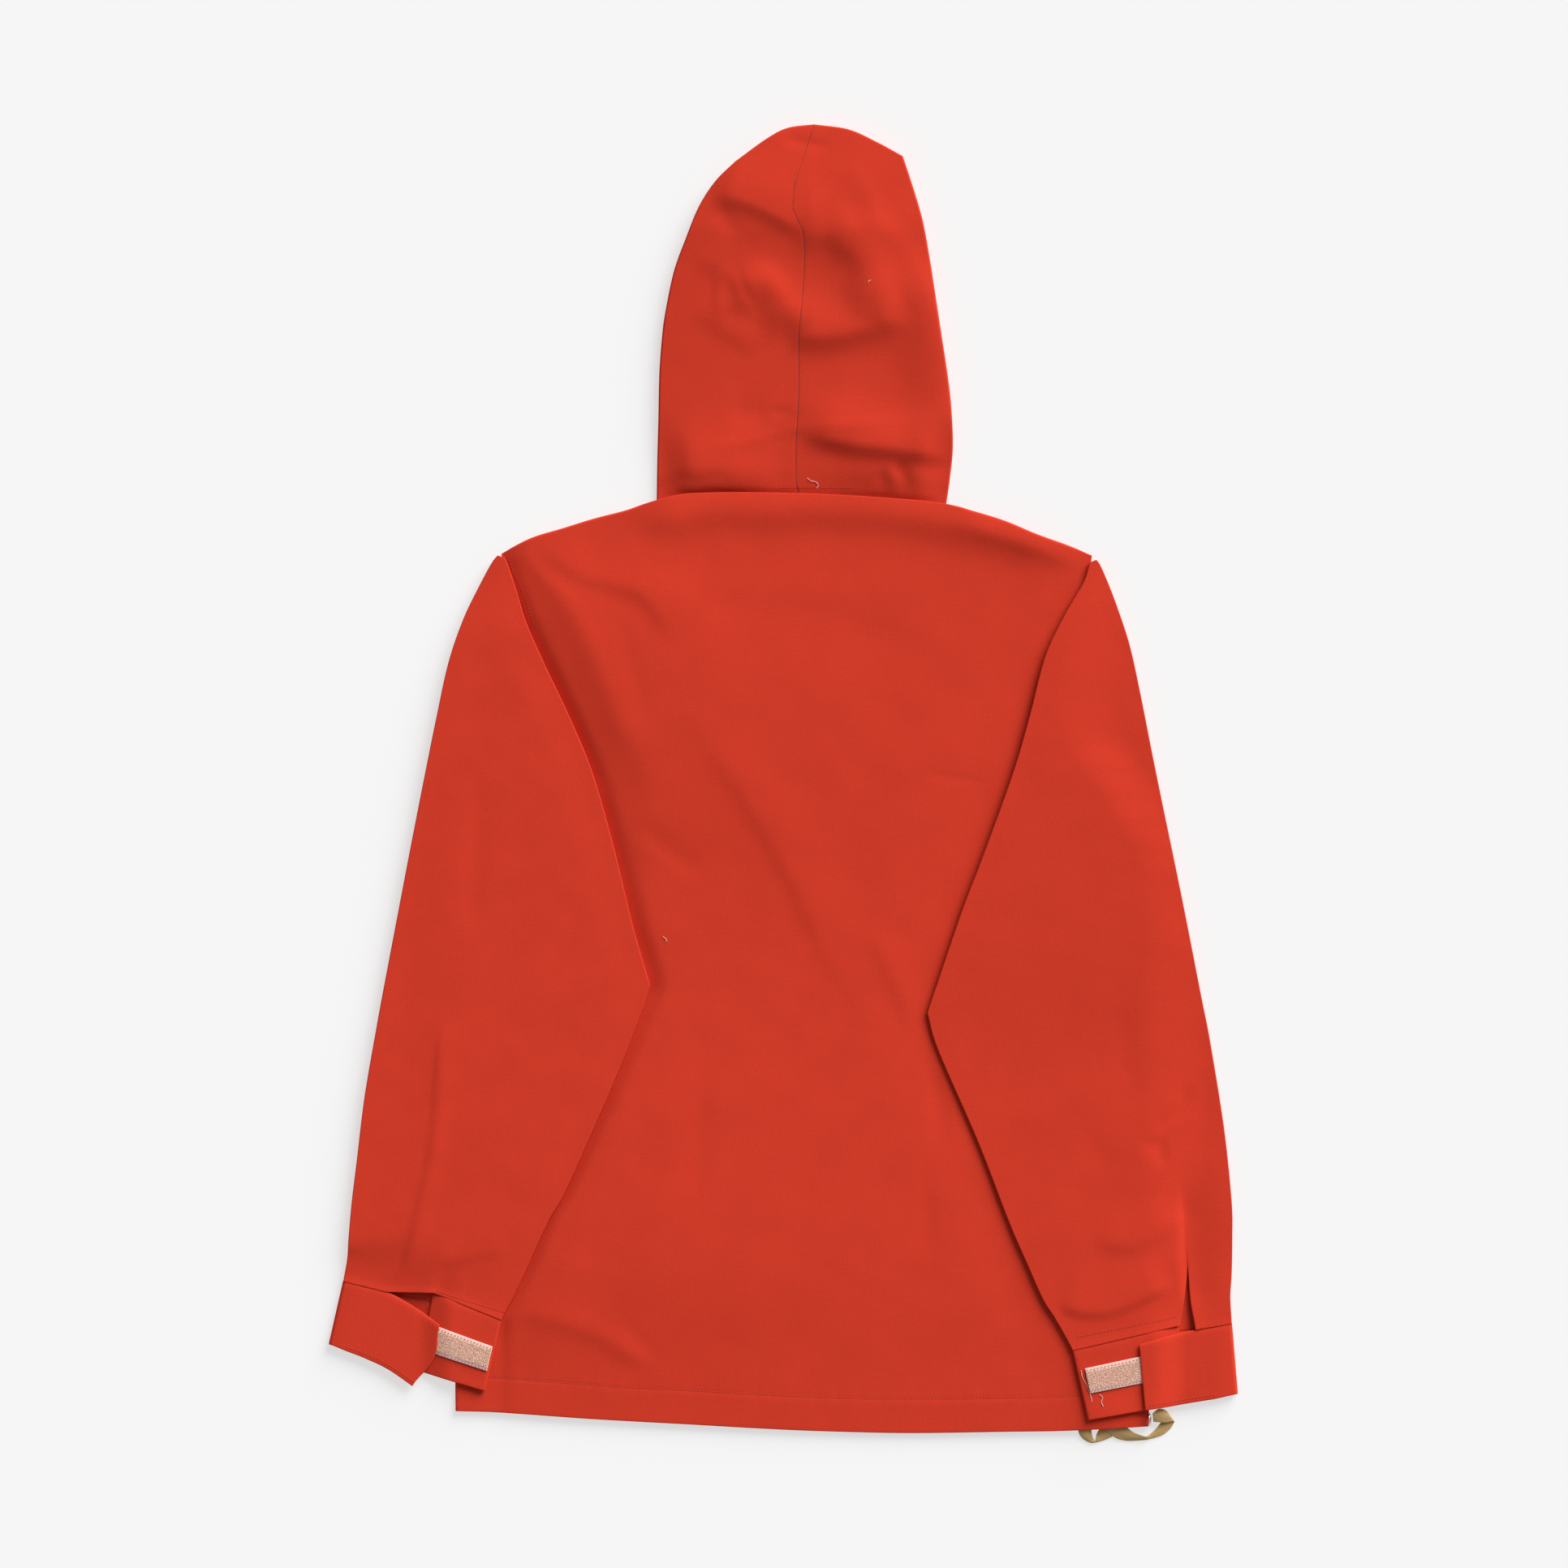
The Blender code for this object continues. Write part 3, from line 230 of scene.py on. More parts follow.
# Drawcord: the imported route, and the two edges of its tape as it folds and twists along it
CORD_WIDTH = 10.0
CORD_THICK = 0.8
CORD_CLEARANCE = 0.05           # the tape stays this far over the floor
RIBBON_CELL = 1.0
RIBBON_CURL = 0.25              # how far the tape's middle rises and its edges sink
CORD_ROUTE = (
    (279.9, -484.3, 5.0), (286, -483.2, 4.6), (291, -486, 3.2), (291, -492, 1.7),
    (286.5, -497, 1.0), (280, -499.6, 0.9), (273, -500.2, 1.1), (265, -498.6, 2.0),
    (257, -494.5, 3.0), (250.5, -489, 3.4), (242, -485.5, 3.4), (233.5, -486, 3.0),
    (229, -491, 2.3), (230, -497, 1.0), (236.5, -500.2, 0.8), (243, -498.5, 1.0), (247, -494, 2.0),
    (250.5, -488.5, 2.05),
)
# x, y, z of the edge that starts at the top, then x, y, z of the other
CORD_EDGES = (
    (279.3, -480.4, 7.0, 280.0, -486.9, 4.0), (283.6, -477.2, 6.4, 283.6, -487.3, 4.4),
    (287.6, -477.4, 5.6, 289.6, -487.6, 4.2), (290.2, -479.2, 4.4, 295.2, -486.6, 3.4),
    (289.6, -481.6, 2.4, 295.6, -488.4, 1.5), (286.2, -487.0, 1.4, 292.4, -493.2, 0.9),
    (282.2, -492.3, 1.2, 286.8, -497.5, 0.7), (278.3, -496.0, 1.6, 279.8, -499.8, 0.6),
    (274.8, -498.2, 3.2, 274.6, -500.9, 0.7), (270.0, -497.0, 3.2, 268.0, -501.5, 0.7),
    (265.0, -495.0, 3.0, 260.5, -501.7, 0.7), (260.4, -491.6, 3.2, 252.6, -500.0, 1.2),
    (255.5, -487.0, 3.4, 247.0, -496.0, 2.4), (248.0, -482.8, 3.5, 243.0, -492.0, 3.0),
    (239.0, -481.0, 3.4, 238.8, -490.2, 3.1), (230.0, -482.5, 3.2, 235.6, -490.0, 3.1),
    (224.2, -487.5, 3.0, 233.6, -491.4, 3.0), (223.2, -493.6, 2.4, 233.3, -494.6, 2.6),
    (224.8, -498.0, 1.6, 234.2, -498.6, 1.9), (228.2, -501.2, 0.9, 235.4, -501.0, 1.5),
    (233.3, -503.3, 0.6, 236.2, -501.6, 1.9), (239.6, -502.3, 0.6, 236.5, -499.9, 1.8),
    (245.0, -500.4, 0.8, 237.0, -497.0, 1.4), (250.2, -497.6, 1.4, 238.6, -493.6, 1.9),
    (253.6, -493.0, 1.9, 242.0, -489.4, 1.9), (255.6, -489.0, 1.9, 245.0, -486.4, 1.9),
)
EYELET_CENTRE = (277.5, -485.0, 5.2)
EYELET_RADIUS = 5.0
EYELET_HOLE_RADIUS = 2.8
EYELET_THICK = 1.2
EYELET_TILT = radians(80)

# ---------------------------------------------------------------- creases, sewing, floor, light

# A soft trough (height below 0) or ridge along a line of x, y points. left and right are its half
# widths on the two sides of that line, and fade is the share of its length that each end takes.
Crease = namedtuple("Crease", "height left right fade points")

BACK_CREASES = (
    Crease(0.5, 10, 10, 0.2, ((-190, 160), (-160, 124), (-141, 84), (-128, 48), (-112, 10))),
    Crease(-0.5, 8, 7, 0.3, ((-112, -30), (-98, -46), (-84, -58), (-56, -76))),
    Crease(1.5, 28, 8, 0.25, ((-188, 180), (-154, 157), (-132, 151), (-106, 141), (-90, 122),
                              (-78, 102))),
    Crease(-0.35, 7, 7, 0.35, ((-124, 128), (-118, 96), (-108, 60), (-98, 34))),
    Crease(1.2, 26, 9, 0.4, ((-86, 76), (-66, 44), (-42, 10), (-18, -28), (6, -69), (24, -108),
                             (38, -138), (60, -170), (78, -200))),
    Crease(0.7, 14, 7, 0.35, ((62, -108), (74, -130), (90, -164), (104, -200))),
    Crease(-0.8, 18, 30, 0.3, ((-86, 128), (-40, 126), (8, 122), (56, 110), (98, 94), (118, 66))),
    Crease(3.4, 24, 16, 0.12, ((-120, 192), (-60, 205), (0, 206), (60, 205), (110, 199), (150, 190),
                               (190, 178), (222, 167))),
    Crease(1.6, 20, 8, 0.3, ((120, 197), (160, 187), (190, 177), (215, 168), (232, 158))),
    Crease(-0.3, 2.4, 4, 0.4, ((98, 7), (123, 2), (158, -2))),
    Crease(0.9, 12, 7, 0.3, ((-208, -399), (-176, -408), (-141, -420), (-117, -434), (-101, -440),
                             (-82, -452))),
    Crease(-0.4, 5, 9, 0.4, ((-126, -408), (-104, -430), (-85, -454))),
    Crease(-0.4, 9, 10, 0.4, ((-62, -180), (-64, -260), (-66, -350))),
    Crease(0.3, 11, 11, 0.4, ((-88, -200), (-88, -280), (-92, -360))),
    Crease(-0.6, 8, 8, 0.4, ((114, -196), (117, -240), (122, -290))),
    Crease(-0.4, 8, 8, 0.4, ((106, -280), (108, -330), (110, -372))),
    Crease(-0.4, 9, 9, 0.4, ((184, -370), (160, -404), (138, -438))),
    Crease(0.3, 9, 9, 0.4, ((172, -374), (148, -404), (128, -432))),
    Crease(0.25, 16, 12, 0.4, ((-40, -326), (20, -334), (80, -330))),
    Crease(0.25, 14, 16, 0.4, ((-86, -132), (-40, -146), (18, -150))),
)
HOOD_CREASES = (
    Crease(2.8, 30, 9, 0.25, ((-58, 445), (-34, 440), (-12, 431), (6, 421), (18, 412))),
    Crease(2.7, 30, 13, 0.2, ((2, 414), (16, 413), (34, 413), (49, 406), (59, 395), (64, 379),
                              (61, 358), (57, 345))),
    Crease(1.6, 16, 26, 0.25, ((30, 415), (50, 410), (62, 398), (67, 380), (66, 358))),
    Crease(-0.7, 7, 8, 0.35, ((-52, 436), (-44, 424), (-34, 408))),
    Crease(0.8, 20, 8, 0.35, ((-72, 402), (-50, 389), (-28, 376), (-14, 368))),
    Crease(1.2, 22, 9, 0.25, ((-56, 361), (-40, 361), (-26, 366))),
    Crease(3.4, 13, 18, 0.3, ((-44, 368), (-28, 370), (-16, 376), (-5, 366), (4, 350), (12, 335))),
    Crease(1.0, 12, 9, 0.3, ((-66, 362), (-47, 345), (-30, 333), (-14, 322))),
    Crease(4.3, 24, 12.5, 0.25, ((-2, 340), (32, 337), (56, 342), (84, 350), (98, 355))),
    Crease(4.4, 14, 25, 0.25, ((88, 404), (102, 378), (112, 350), (118, 322), (122, 290), (124, 256),
                               (122, 232))),
    Crease(0.45, 4, 4, 0.3, ((-72, 249), (-27, 255), (8, 265), (38, 267), (73, 268), (100, 270))),
    Crease(4.3, 26, 7.5, 0.25, ((6, 262), (22, 261), (54, 254), (80, 251), (103, 248), (132, 243))),
    Crease(-1.6, 5, 5, 0.2, ((84, 240), (92, 226), (93, 212))),
    Crease(-1.1, 4, 4, 0.2, ((70, 232), (76, 222), (73, 212))),
    Crease(0.9, 4, 4, 0.2, ((80, 240), (84, 226), (83, 212))),
    Crease(-1.0, 5, 4, 0.3, ((-92, 222), (-76, 226), (-64, 224), (-50, 227), (-36, 224))),
    Crease(-0.6, 5, 5, 0.3, ((-2, 486), (15, 481), (38, 478))),
    Crease(0.7, 8, 10, 0.35, ((43, 473), (53, 460), (65, 438), (72, 420), (89, 405), (103, 385))),
    Crease(-0.6, 3, 5, 0.4, ((-12, 277), (8, 279))),
    Crease(-0.6, 9, 9, 0.4, ((-44, 282), (-26, 276), (-6, 280))),
)
SLEEVE_CREASES = (
    Crease(1.0, 9, 3.5, 0.15, ((-258, -180), (-261, -231), (-265, -279), (-273, -318), (-285, -366),
                               (-300, -388))),
    Crease(0.6, 16, 5, 0.25, ((-264, -376), (-248, -367), (-226, -359), (-204, -355))),
    Crease(-0.5, 9, 9, 0.35, ((-229, 12), (-233, -60), (-238, -125))),
    Crease(1.1, 16, 7, 0.25, ((232, -348), (250, -351), (267, -351), (287, -341), (303, -324))),
    Crease(-2.0, 16, 4, 0.3, ((302, -300), (304, -330), (305, -365), (308, -400), (310, -418))),
    Crease(-1.0, 6, 5, 0.3, ((282, -276), (288, -262), (300, -250), (311, -230))),
    Crease(-0.9, 5, 5, 0.3, ((270, -283), (284, -276), (286, -296))),
    Crease(1.5, 26, 4.5, 0.2, ((203, -396), (224, -403), (247, -404), (276, -393), (297, -383))),
    Crease(-0.4, 9, 9, 0.35, ((254, -172), (258, -205), (262, -244))),
    Crease(-0.35, 9, 9, 0.4, ((226, -262), (240, -286), (256, -300))),
    Crease(0.5, 9, 9, 0.35, ((-300, -40), (-312, -120), (-318, -190))),
    Crease(0.4, 9, 9, 0.35, ((306, -60), (318, -140), (326, -220))),
)
# Between the sleeves the body stands over their edges. To the left one it falls slowly and then
# steeply, to the right one slowly: y, width, depth, steep width, steep depth, right width, depth
VALLEYS = (
    (-500, 26, 0.1, 9, 0.2, 40, 0.1), (-440, 34, 1.0, 8, 1.2, 40, 0.4), (-380, 30, 2, 8, 3.6, 40, 0.8),
    (-330, 24, 2, 8, 4, 40, 1.2), (-260, 16, 1.6, 9, 3.8, 44, 1.6), (-160, 12, 1, 12, 2.7, 50, 2.2),
    (-110, 12, 1, 12, 2.9, 56, 2.6), (-60, 22, 2, 11, 2.9, 60, 3), (-23, 36, 3.6, 10, 3, 60, 3.2),
    (10, 41, 4.9, 10, 3.2, 60, 3.2), (43, 38, 5.4, 10, 3.3, 60, 3.2), (80, 42, 5.9, 10, 3.3, 60, 3.2),
    (113, 41, 5.7, 10, 3.1, 60, 3.2), (138, 33, 5.2, 9, 2.6, 56, 3), (163, 18, 4.2, 8, 1.6, 40, 2.8),
    (216, 14, 3.2, 8, 1, 40, 2.4),
)
SHOULDER_SHARE = 0.75           # share of that rise that is left at the shoulder line
SHOULDER_FALL = 70              # it is reached over this distance below that line
VALLEY_BLEND = (-110, 190)      # x where the left side's rise gives way to the right side's
SLOPE_CREST = 0.16              # roundness of the crest of a rise
CREASE_STEPS = 5                # straight pieces of a crease's line from point to point
CREASE_REACH = 2.6              # a crease is felt this many of its half widths from its line
# Unevenness of the cloth between its creases: wave length, height
UNEVEN = ((90, 0.14), (34, 0.05))
WAVE_COUNT = 9                  # waves of each length
WAVE_SPREAD = (0.7, 1.4)        # shortest and longest of them, as shares of their length
BACK_SEED = 3
HOOD_SEED = 11
LEFT_SLEEVE_SEED = 21
RIGHT_SLEEVE_SEED = 22
EDGE_FADE = 14                  # a sleeve's creases come in over this distance from fold or cuff
CUFF_END_SHARE = 0.5            # share of their height that they have at the cuff
HEM_PLAIN = 30                  # the back's creases come in over this height above the hem
FOLD_REACH = 0.25               # how far in from a fold's edge the fold is rounded
FOLD_SHARES = np.linspace(0, 1, 9)  # shares of the way round a fold at its rows of points
SLEEVE_UNDER = 60.0             # lengths that a sleeve's two lower stretches are divided for
SLEEVE_LAP = 40.0
# How far a sleeve's upper layer stands over its lower one: y, left, right
SLEEVE_PLUMP = (
    (-430, 3.6, 2.3), (-330, 4.2, 1.9), (-260, 4.6, 1.4), (-200, 4.6, 1.4), (-120, 4.6, 3.7),
    (60, 5, 4.6), (170, 4, 3.8),
)
FOLD_TAPER = 30.0               # towards its inner fold the left sleeve thins over this width
TAPERED = 0.85                  # to this share
OUTER_LIFT = {-1: 4.2, 1: 1.6}  # how far each sleeve fills out beyond the body, above its vent
# How far the middle of the hood stands over its outline at a height: y, rise
HOOD_RISE = (
    (204, 4), (240, 4), (270, 4), (300, 4.1), (320, 4.4), (335, 4.8), (350, 5.2), (375, 6),
    (390, 6.8), (404, 7.9), (418, 9.2), (436, 9.3), (458, 9.3), (474, 9), (486, 8.7), (495, 8.2),
)
HOOD_DOME_WIDTH = 60.0          # how far in from its outline it has risen so far
HOOD_EDGE_SHARE = 0.75          # share of that rise that it has at once at its outline
HOOD_REACH = 1.0                # how far in from its outline its fold is rounded
NECK_CLEAR = (230.0, 285.0)     # over these heights the hood goes from the next table to that rise
# Where the hood dives to the neck: x, its height over the neck, how far above the neck it dives
NECK_DIVE = (
    (-96, 3.4, 18), (-70, 6.2, 15), (-42, 6.4, 14), (-18, 4, 13), (0, 1.9, 12), (35, 1.9, 14),
    (55, 3.6, 26), (75, 5, 34), (95, 5.6, 36), (110, 5.2, 34), (123, 3.4, 30),
)

CELL = 3.2                      # size of a cell of cloth
COARSE_CELL = 7.0               # the same where only the underside shows
EDGE_STOPS = (0.0, 0.15, 0.45, 0.9)  # rows of points that round a cloth edge
SEWN_STOPS = (-2.0, -1.0, -0.4, 0.0, 0.4, 1.0, 2.0)  # rows of points about a sewn line
STOP_SPACE = 0.3                # even rows keep this share of a cell from those
EDGE_ROWS = 3.2                 # the back has rows like a sewn line's this far in from its edges
EDGE_SHARE = 0.3                # share of its wall that a cloth shell has at its edges
MERGE_DISTANCE = 0.00001        # metres within which points of a grid are one
SLEEVE_SAMPLES = 3000           # fine steps in which the lengths of sleeve and hood are measured
HOOD_SAMPLES = 2000
HOOD_OUTLINE_POINTS = 400
HALVINGS = 30                   # halvings in the search for the body's side on a ring
HEM_DEPTH = 26.0                # from the hem's edge to its sewn line
HEM_PROUD = 0.14                # how far the doubled hem stands over the single cloth
HEM_STEP = (HEM_DEPTH + 1.0, HEM_DEPTH - 1.5)  # heights over the hem's edge between which it ends
HEM_GROOVE = 0.16               # depth and width of the groove along the sewn line
HEM_GROOVE_WIDTH = 0.9
PUCKER = 0.12                   # height of the puckers along it, their two wave lengths, their reach
PUCKER_WAVES = (11.0, 37.0)
PUCKER_WIDTH = 9.0
CUFF_WALL = 1.3
SEAM_OVERLAP = 0.9              # a sleeve's end laps its cuff by this, stands over it by SEAM_STAND
SEAM_STAND = 0.5
SEAM_STAND_WIDTH = 2.2
STITCH_STEP = 1.5               # distance of the points of a line of stitches
STITCH_SHARE = 0.78             # length of a stitch as a share of their pitch
EVEN_STEPS = 40                 # fine steps from point to point in which a line is measured
RIBBON_STEPS = 8                # the same for the drawcord's tape, and for its route
ROUTE_STEPS = 10
DROP_HEIGHT = 0.1               # metres above the floor that threads are dropped from
THREAD_LIFT = 0.12              # how far the middle of a stitch is above the cloth
HEM_STITCHES = (-244, 273)      # x of the hem's topstitching
TAB_STITCH_START = 0.08         # first row of a tab's table, and share down it, of its stitches
TAB_STITCH_DOWN = 0.94
TAPE_STITCH_START = 0.25        # stations from a tape's end to its stitches
TAPE_STITCH_LIFT = 0.5
# Topstitching beside a seam, and threads that have worked loose: the cloth they lie on, x, y points
BODY_TOPSTITCHES = (
    ("right_hood", ((13, 220.5), (30, 220.5), (52, 220))),
    ("left_hood", ((-2, 220.3), (9, 220.4))),
    ("back_panel", ((-207.5, 165), (-205, 157), (-200.5, 149), (-198, 141), (-194.6, 134),
                    (-190, 118))),
)
SLEEVE_TOPSTITCHES = (
    ("right_sleeve", ((223, -422.5), (260, -415), (297, -407.5))),
    ("left_sleeve", ((-262, -388), (-240, -395), (-212, -403.5))),
)
LOOSE_THREADS = (
    ("right_hood", ((18, 227.5), (21, 225.4), (24.4, 224.6), (26.2, 222.2), (25, 219.8))),
    ("right_cuff", ((225, -447.6), (226.2, -453), (229.4, -459), (232.6, -468), (233.2, -471.6))),
    ("right_cuff", ((239, -466), (241.4, -468.4), (240.4, -471.8), (242, -475))),
    ("back_panel", ((-91.4, -119.6), (-89, -121.4), (-88.6, -123.2))),
    ("right_hood", ((64, 375), (64.6, 376.4), (66, 377))),
)
LOOSE_RADIUS = 0.22
LOOSE_STEP = 0.7
LOOSE_LIFT = 0.35
# A dark twisted line is painted along the hood's centre seam as the shadow in its crease
HOOD_SEAM_SHADOW_RADIUS = 0.34
SEAM_START = 14.0               # the painted shadow of the hood's centre seam shows from this far above the hood's base
SEAM_SHIFT = 0.1                # it is drawn this far inside the right half
SEAM_POINTS = 200
SEAM_SHADOW_SHADE = 0.35               # brightness of that painted seam shadow as a share of the thread's

THREAD_SPACING = 0.55           # from thread to thread of the weave
SLUB_WIDTH = 1.7                # scales of the noise across and along a slub, for each mm
SLUB_LENGTH = 0.05
DYE_PATCH = 0.03                # scale of the dye's patches, for each mm
SELVEDGE_RIB = 0.7              # from rib to rib of a tape's woven edge, and of the drawcord
CORD_RIB = 0.9
# What both Geometry Nodes trees share: name, kind, settings and values of each node, then links
SPREAD_NODES = (
    ("given", "NodeGroupInput", {}, {}),
    ("spread", "GeometryNodeInstanceOnPoints", {}, {}),
    ("realize", "GeometryNodeRealizeInstances", {}, {}),
    ("smooth", "GeometryNodeSetShadeSmooth", {}, {}),
    ("paint", "GeometryNodeSetMaterial", {}, {}),
    ("result", "NodeGroupOutput", {}, {}),
)
SPREAD_LINKS = (
    ("spread", "Instances", "realize", "Geometry"),
    ("realize", "Geometry", "smooth", "Geometry"),
    ("smooth", "Geometry", "paint", "Geometry"),
    ("given", "Material", "paint", "Material"),
    ("paint", "Geometry", "result", "Geometry"),
)

LENS = 200.0
SENSOR = 36.0
VIEW_WIDTH = 1188.2             # width of the picture at the floor
VIEW_CENTRE = (0.3, -4.0)
FLOOR_SIZE = 8.0
FLOOR_DROP = 0.5                # the floor lies this far under z = 0
FLOOR_GLOW = 2.05               # strength of the light that the floor itself gives
KEY_SPREAD = radians(44)        # angle that the main light fills, and where it comes from
KEY_TOWARDS = (0.48, 0.68, 0.41)


# ---------------------------------------------------------------- curves and heights

def mix(low, high, share):
    """The value that share of the way from low to high."""
    return low + (high - low) * share


def ease(start, end, value):
    """0 before start, 1 after end, and a smooth step between them."""
    share = np.clip((value - start) / (end - start), 0.0, 1.0)
    return share * share * (3.0 - 2.0 * share)


def bell(distance, width):
    """1 at a distance of 0, falling smoothly to nothing over about two widths."""
    return np.exp(-(distance / width)**2)


def smooth(table, keys, corners=()):
    """The other columns of a table at keys of its first column, on a smooth curve.

    The curve keeps its rows' values and breaks its direction at the rows listed as corners.
    """
    rows = np.array(table, float)
    knots = rows[:, 0]
    values = rows[:, 1:]
    keys = np.clip(keys, knots[0], knots[-1])
    at = np.clip(np.searchsorted(knots, keys) - 1, 0, len(knots) - 2)
    steps = np.diff(values, axis=0) / np.diff(knots)[:, None]
    if len(knots) > 2:
        central = (values[2:] - values[:-2]) / (knots[2:] - knots[:-2])[:, None]
        leave = np.vstack([steps[:1], central, steps[-1:]])
    else:
        leave = np.vstack([steps, steps])
    arrive = leave.copy()
    for corner in corners:
        leave[corner] = steps[corner]
        arrive[corner] = steps[corner - 1]
    span = (knots[at + 1] - knots[at])[..., None]
    t = (keys - knots[at])[..., None] / span
    return ((2 * t**3 - 3 * t**2 + 1) * values[at] + (t**3 - 2 * t**2 + t) * leave[at] * span
            + (3 * t**2 - 2 * t**3) * values[at + 1] + (t**3 - t**2) * arrive[at + 1] * span)


def numbered(table):
    """The table with its row number as a first column, so that it can be read by row."""
    return [(number, *row) for number, row in enumerate(table)]


def travelled(points, axis=0):
    """How far each point is from the first one, along an axis of an array of points."""
    steps = np.linalg.norm(np.diff(points, axis=axis), axis=-1)
    return np.insert(np.cumsum(steps, axis=axis), 0, 0.0, axis=axis)


def along_rows(table, steps):
    """The rows of a table as a smooth line, with a number of steps from row to row."""
    last = len(table) - 1
    return smooth(numbered(table), np.linspace(0, last, steps * last + 1))


def stops(length, cell, start=True, end=True, sewn=()):
    """Distances from 0 to length, about cell apart, closer at rounded ends and at sewn lines."""
    close = [line + stop for line in sewn for stop in SEWN_STOPS]
    if start:
        close += EDGE_STOPS
    if end:
        close += [length - stop for stop in EDGE_STOPS]
    close = [mark for mark in close if 0.0 <= mark <= length]
    even = np.linspace(0.0, length, max(2, round(length / cell)) + 1)
    apart = STOP_SPACE * cell
    kept = [mark for mark in even if all(abs(mark - other) > apart for other in close)]
    if not start:
        kept.append(0.0)
    if not end:
        kept.append(length)
    return np.unique(np.round(kept + close, 6))


def stop_shares(length, cell, **ends):
    """The stops of a length as shares of it."""
    return stops(length, cell, **ends) / length


def even_keys(line, fine, corner):
    """Keys a cell apart along a line that is given at fine keys, one of them at a corner."""
    done = travelled(line)
    keys = np.interp(stops(done[-1], CELL), done, fine)
    keys[np.abs(keys - corner).argmin()] = corner
    return keys


def hem_y(x):
    """Height of the hem line at x."""
    return smooth(HEM, x)[..., 0]


def shoulder_y(x):
    """Height of the shoulder and back neck line at x."""
    return smooth(SHOULDERS, x)[..., 0]


def side_x(y, sign):
    """Side seam or armhole edge at y: sign -1 is the left one, 1 the right one."""
    rows = np.array(SIDES, float)
    return np.interp(y, rows[:, 0], rows[:, 1 if sign < 0 else 2])


def inner_fold_x(sleeve, y):
    """Inner fold of a sleeve's table at y."""
    return smooth([(row[3], row[2]) for row in sleeve], y)[..., 0]


def crease_height(creases, x, y):
    """Sum of the creases of a table at x, y."""
    total = np.zeros_like(x)
    for crease in creases:
        line = along_rows(crease.points, CREASE_STEPS)
        reach = CREASE_REACH * max(crease.left, crease.right)
        low = line.min(axis=0) - reach
        high = line.max(axis=0) + reach
        near = (x > low[0]) & (x < high[0]) & (y > low[1]) & (y < high[1])
        if not near.any():
            continue
        at = np.stack([x[near], y[near]], axis=-1)
        steps = np.diff(line, axis=0)
        lengths = np.linalg.norm(steps, axis=1)
        done = travelled(line)
        best = np.full(len(at), np.inf)
        value = np.zeros(len(at))
        for start, step, length, before in zip(line, steps, lengths, done):
            off = at - start
            t = np.clip(off @ step / length**2, 0.0, 1.0)
            away = off - t[:, None] * step
            distance = np.linalg.norm(away, axis=1)
            is_left = step[0] * away[:, 1] - step[1] * away[:, 0] > 0
            share = (before + t * length) / done[-1]
            height = crease.height * bell(distance, np.where(is_left, crease.left, crease.right))
            height *= ease(0.0, crease.fade, share) * ease(1.0, 1.0 - crease.fade, share)
            nearer = distance < best
            value = np.where(nearer, height, value)
            best = np.where(nearer, distance, best)
        total[near] += value
    return total


def unevenness(x, y, seed):
    """Slow waves in all directions, the same for the same seed."""
    draw = np.random.default_rng(seed)
    total = np.zeros_like(x)
    for wave, height in UNEVEN:
        for _ in range(WAVE_COUNT):
            turn = draw.uniform(0, pi)
            size = wave * draw.uniform(*WAVE_SPREAD)
            phase = draw.uniform(0, 2 * pi)
            total += height / WAVE_COUNT**0.5 * np.sin(
                (x * cos(turn) + y * sin(turn)) * 2 * pi / size + phase)
    return total


def quarter_roll(distance, width):
    """Share of its full height that an edge rolled down over a width has at a distance."""
    inside = np.clip(distance / width, 0.0, 1.0)
    return np.sqrt(1.0 - (1.0 - inside)**2)


def back_base(x, y):
    """Height of the back panel's middle without creases."""
    level = mix(HEM_LEVEL, BACK_LEVEL, ease(*HEM_RAMP, y))
    near_neck = ease(*NECK_RAMP, y) * ease(*NECK_SIDE_RAMP, np.abs(x - NECK_CENTRE_X))
    level = mix(level, NECK_LEVEL, near_neck)
    lift_x, lift_y, lift, width = HEM_LIFT
    return level + lift * np.exp(-((x - lift_x)**2 + (y - lift_y)**2) / width**2)


def sloped(distance, width):
    """An even rise from 0 at a distance of 0 to 1 at a width, rounded at its crest."""
    share = np.maximum(distance, 0.0) / width
    return (1.0 + share - np.sqrt((1.0 - share)**2 + SLOPE_CREST**2)) / 2


def back_height(x, y):
    """Height of the back panel's middle, before its edges roll down."""
    from_left = x - inner_fold_x(LEFT_SLEEVE, y)
    from_right = inner_fold_x(RIGHT_SLEEVE, y) - x
    valleys = smooth(VALLEYS, y)
    left_rise = (valleys[..., 1] * sloped(from_left, valleys[..., 0])
                 + valleys[..., 3] * sloped(from_left, valleys[..., 2]))
    right_rise = valleys[..., 5] * sloped(from_right, valleys[..., 4])
    rise = mix(left_rise, right_rise, ease(*VALLEY_BLEND, x))
    rise = rise * mix(SHOULDER_SHARE, 1.0, ease(0, SHOULDER_FALL, shoulder_y(x) - y))
    shown = ease(*FOLD_FADE, from_left) * ease(*FOLD_FADE, from_right)
    shown = shown * ease(hem_y(x), hem_y(x) + HEM_PLAIN, y)
    folds = crease_height(BACK_CREASES, x, y) + unevenness(x, y, BACK_SEED)
    return back_base(x, y) + rise + folds * shown


# ---------------------------------------------------------------- shader graphs

def feed(tree, socket, value):
    """Link a signal to a socket, or set the socket to a plain value."""
    if isinstance(value, Signal):
        tree.links.new(value.socket, socket)
    elif value is not None:
        socket.default_value = value


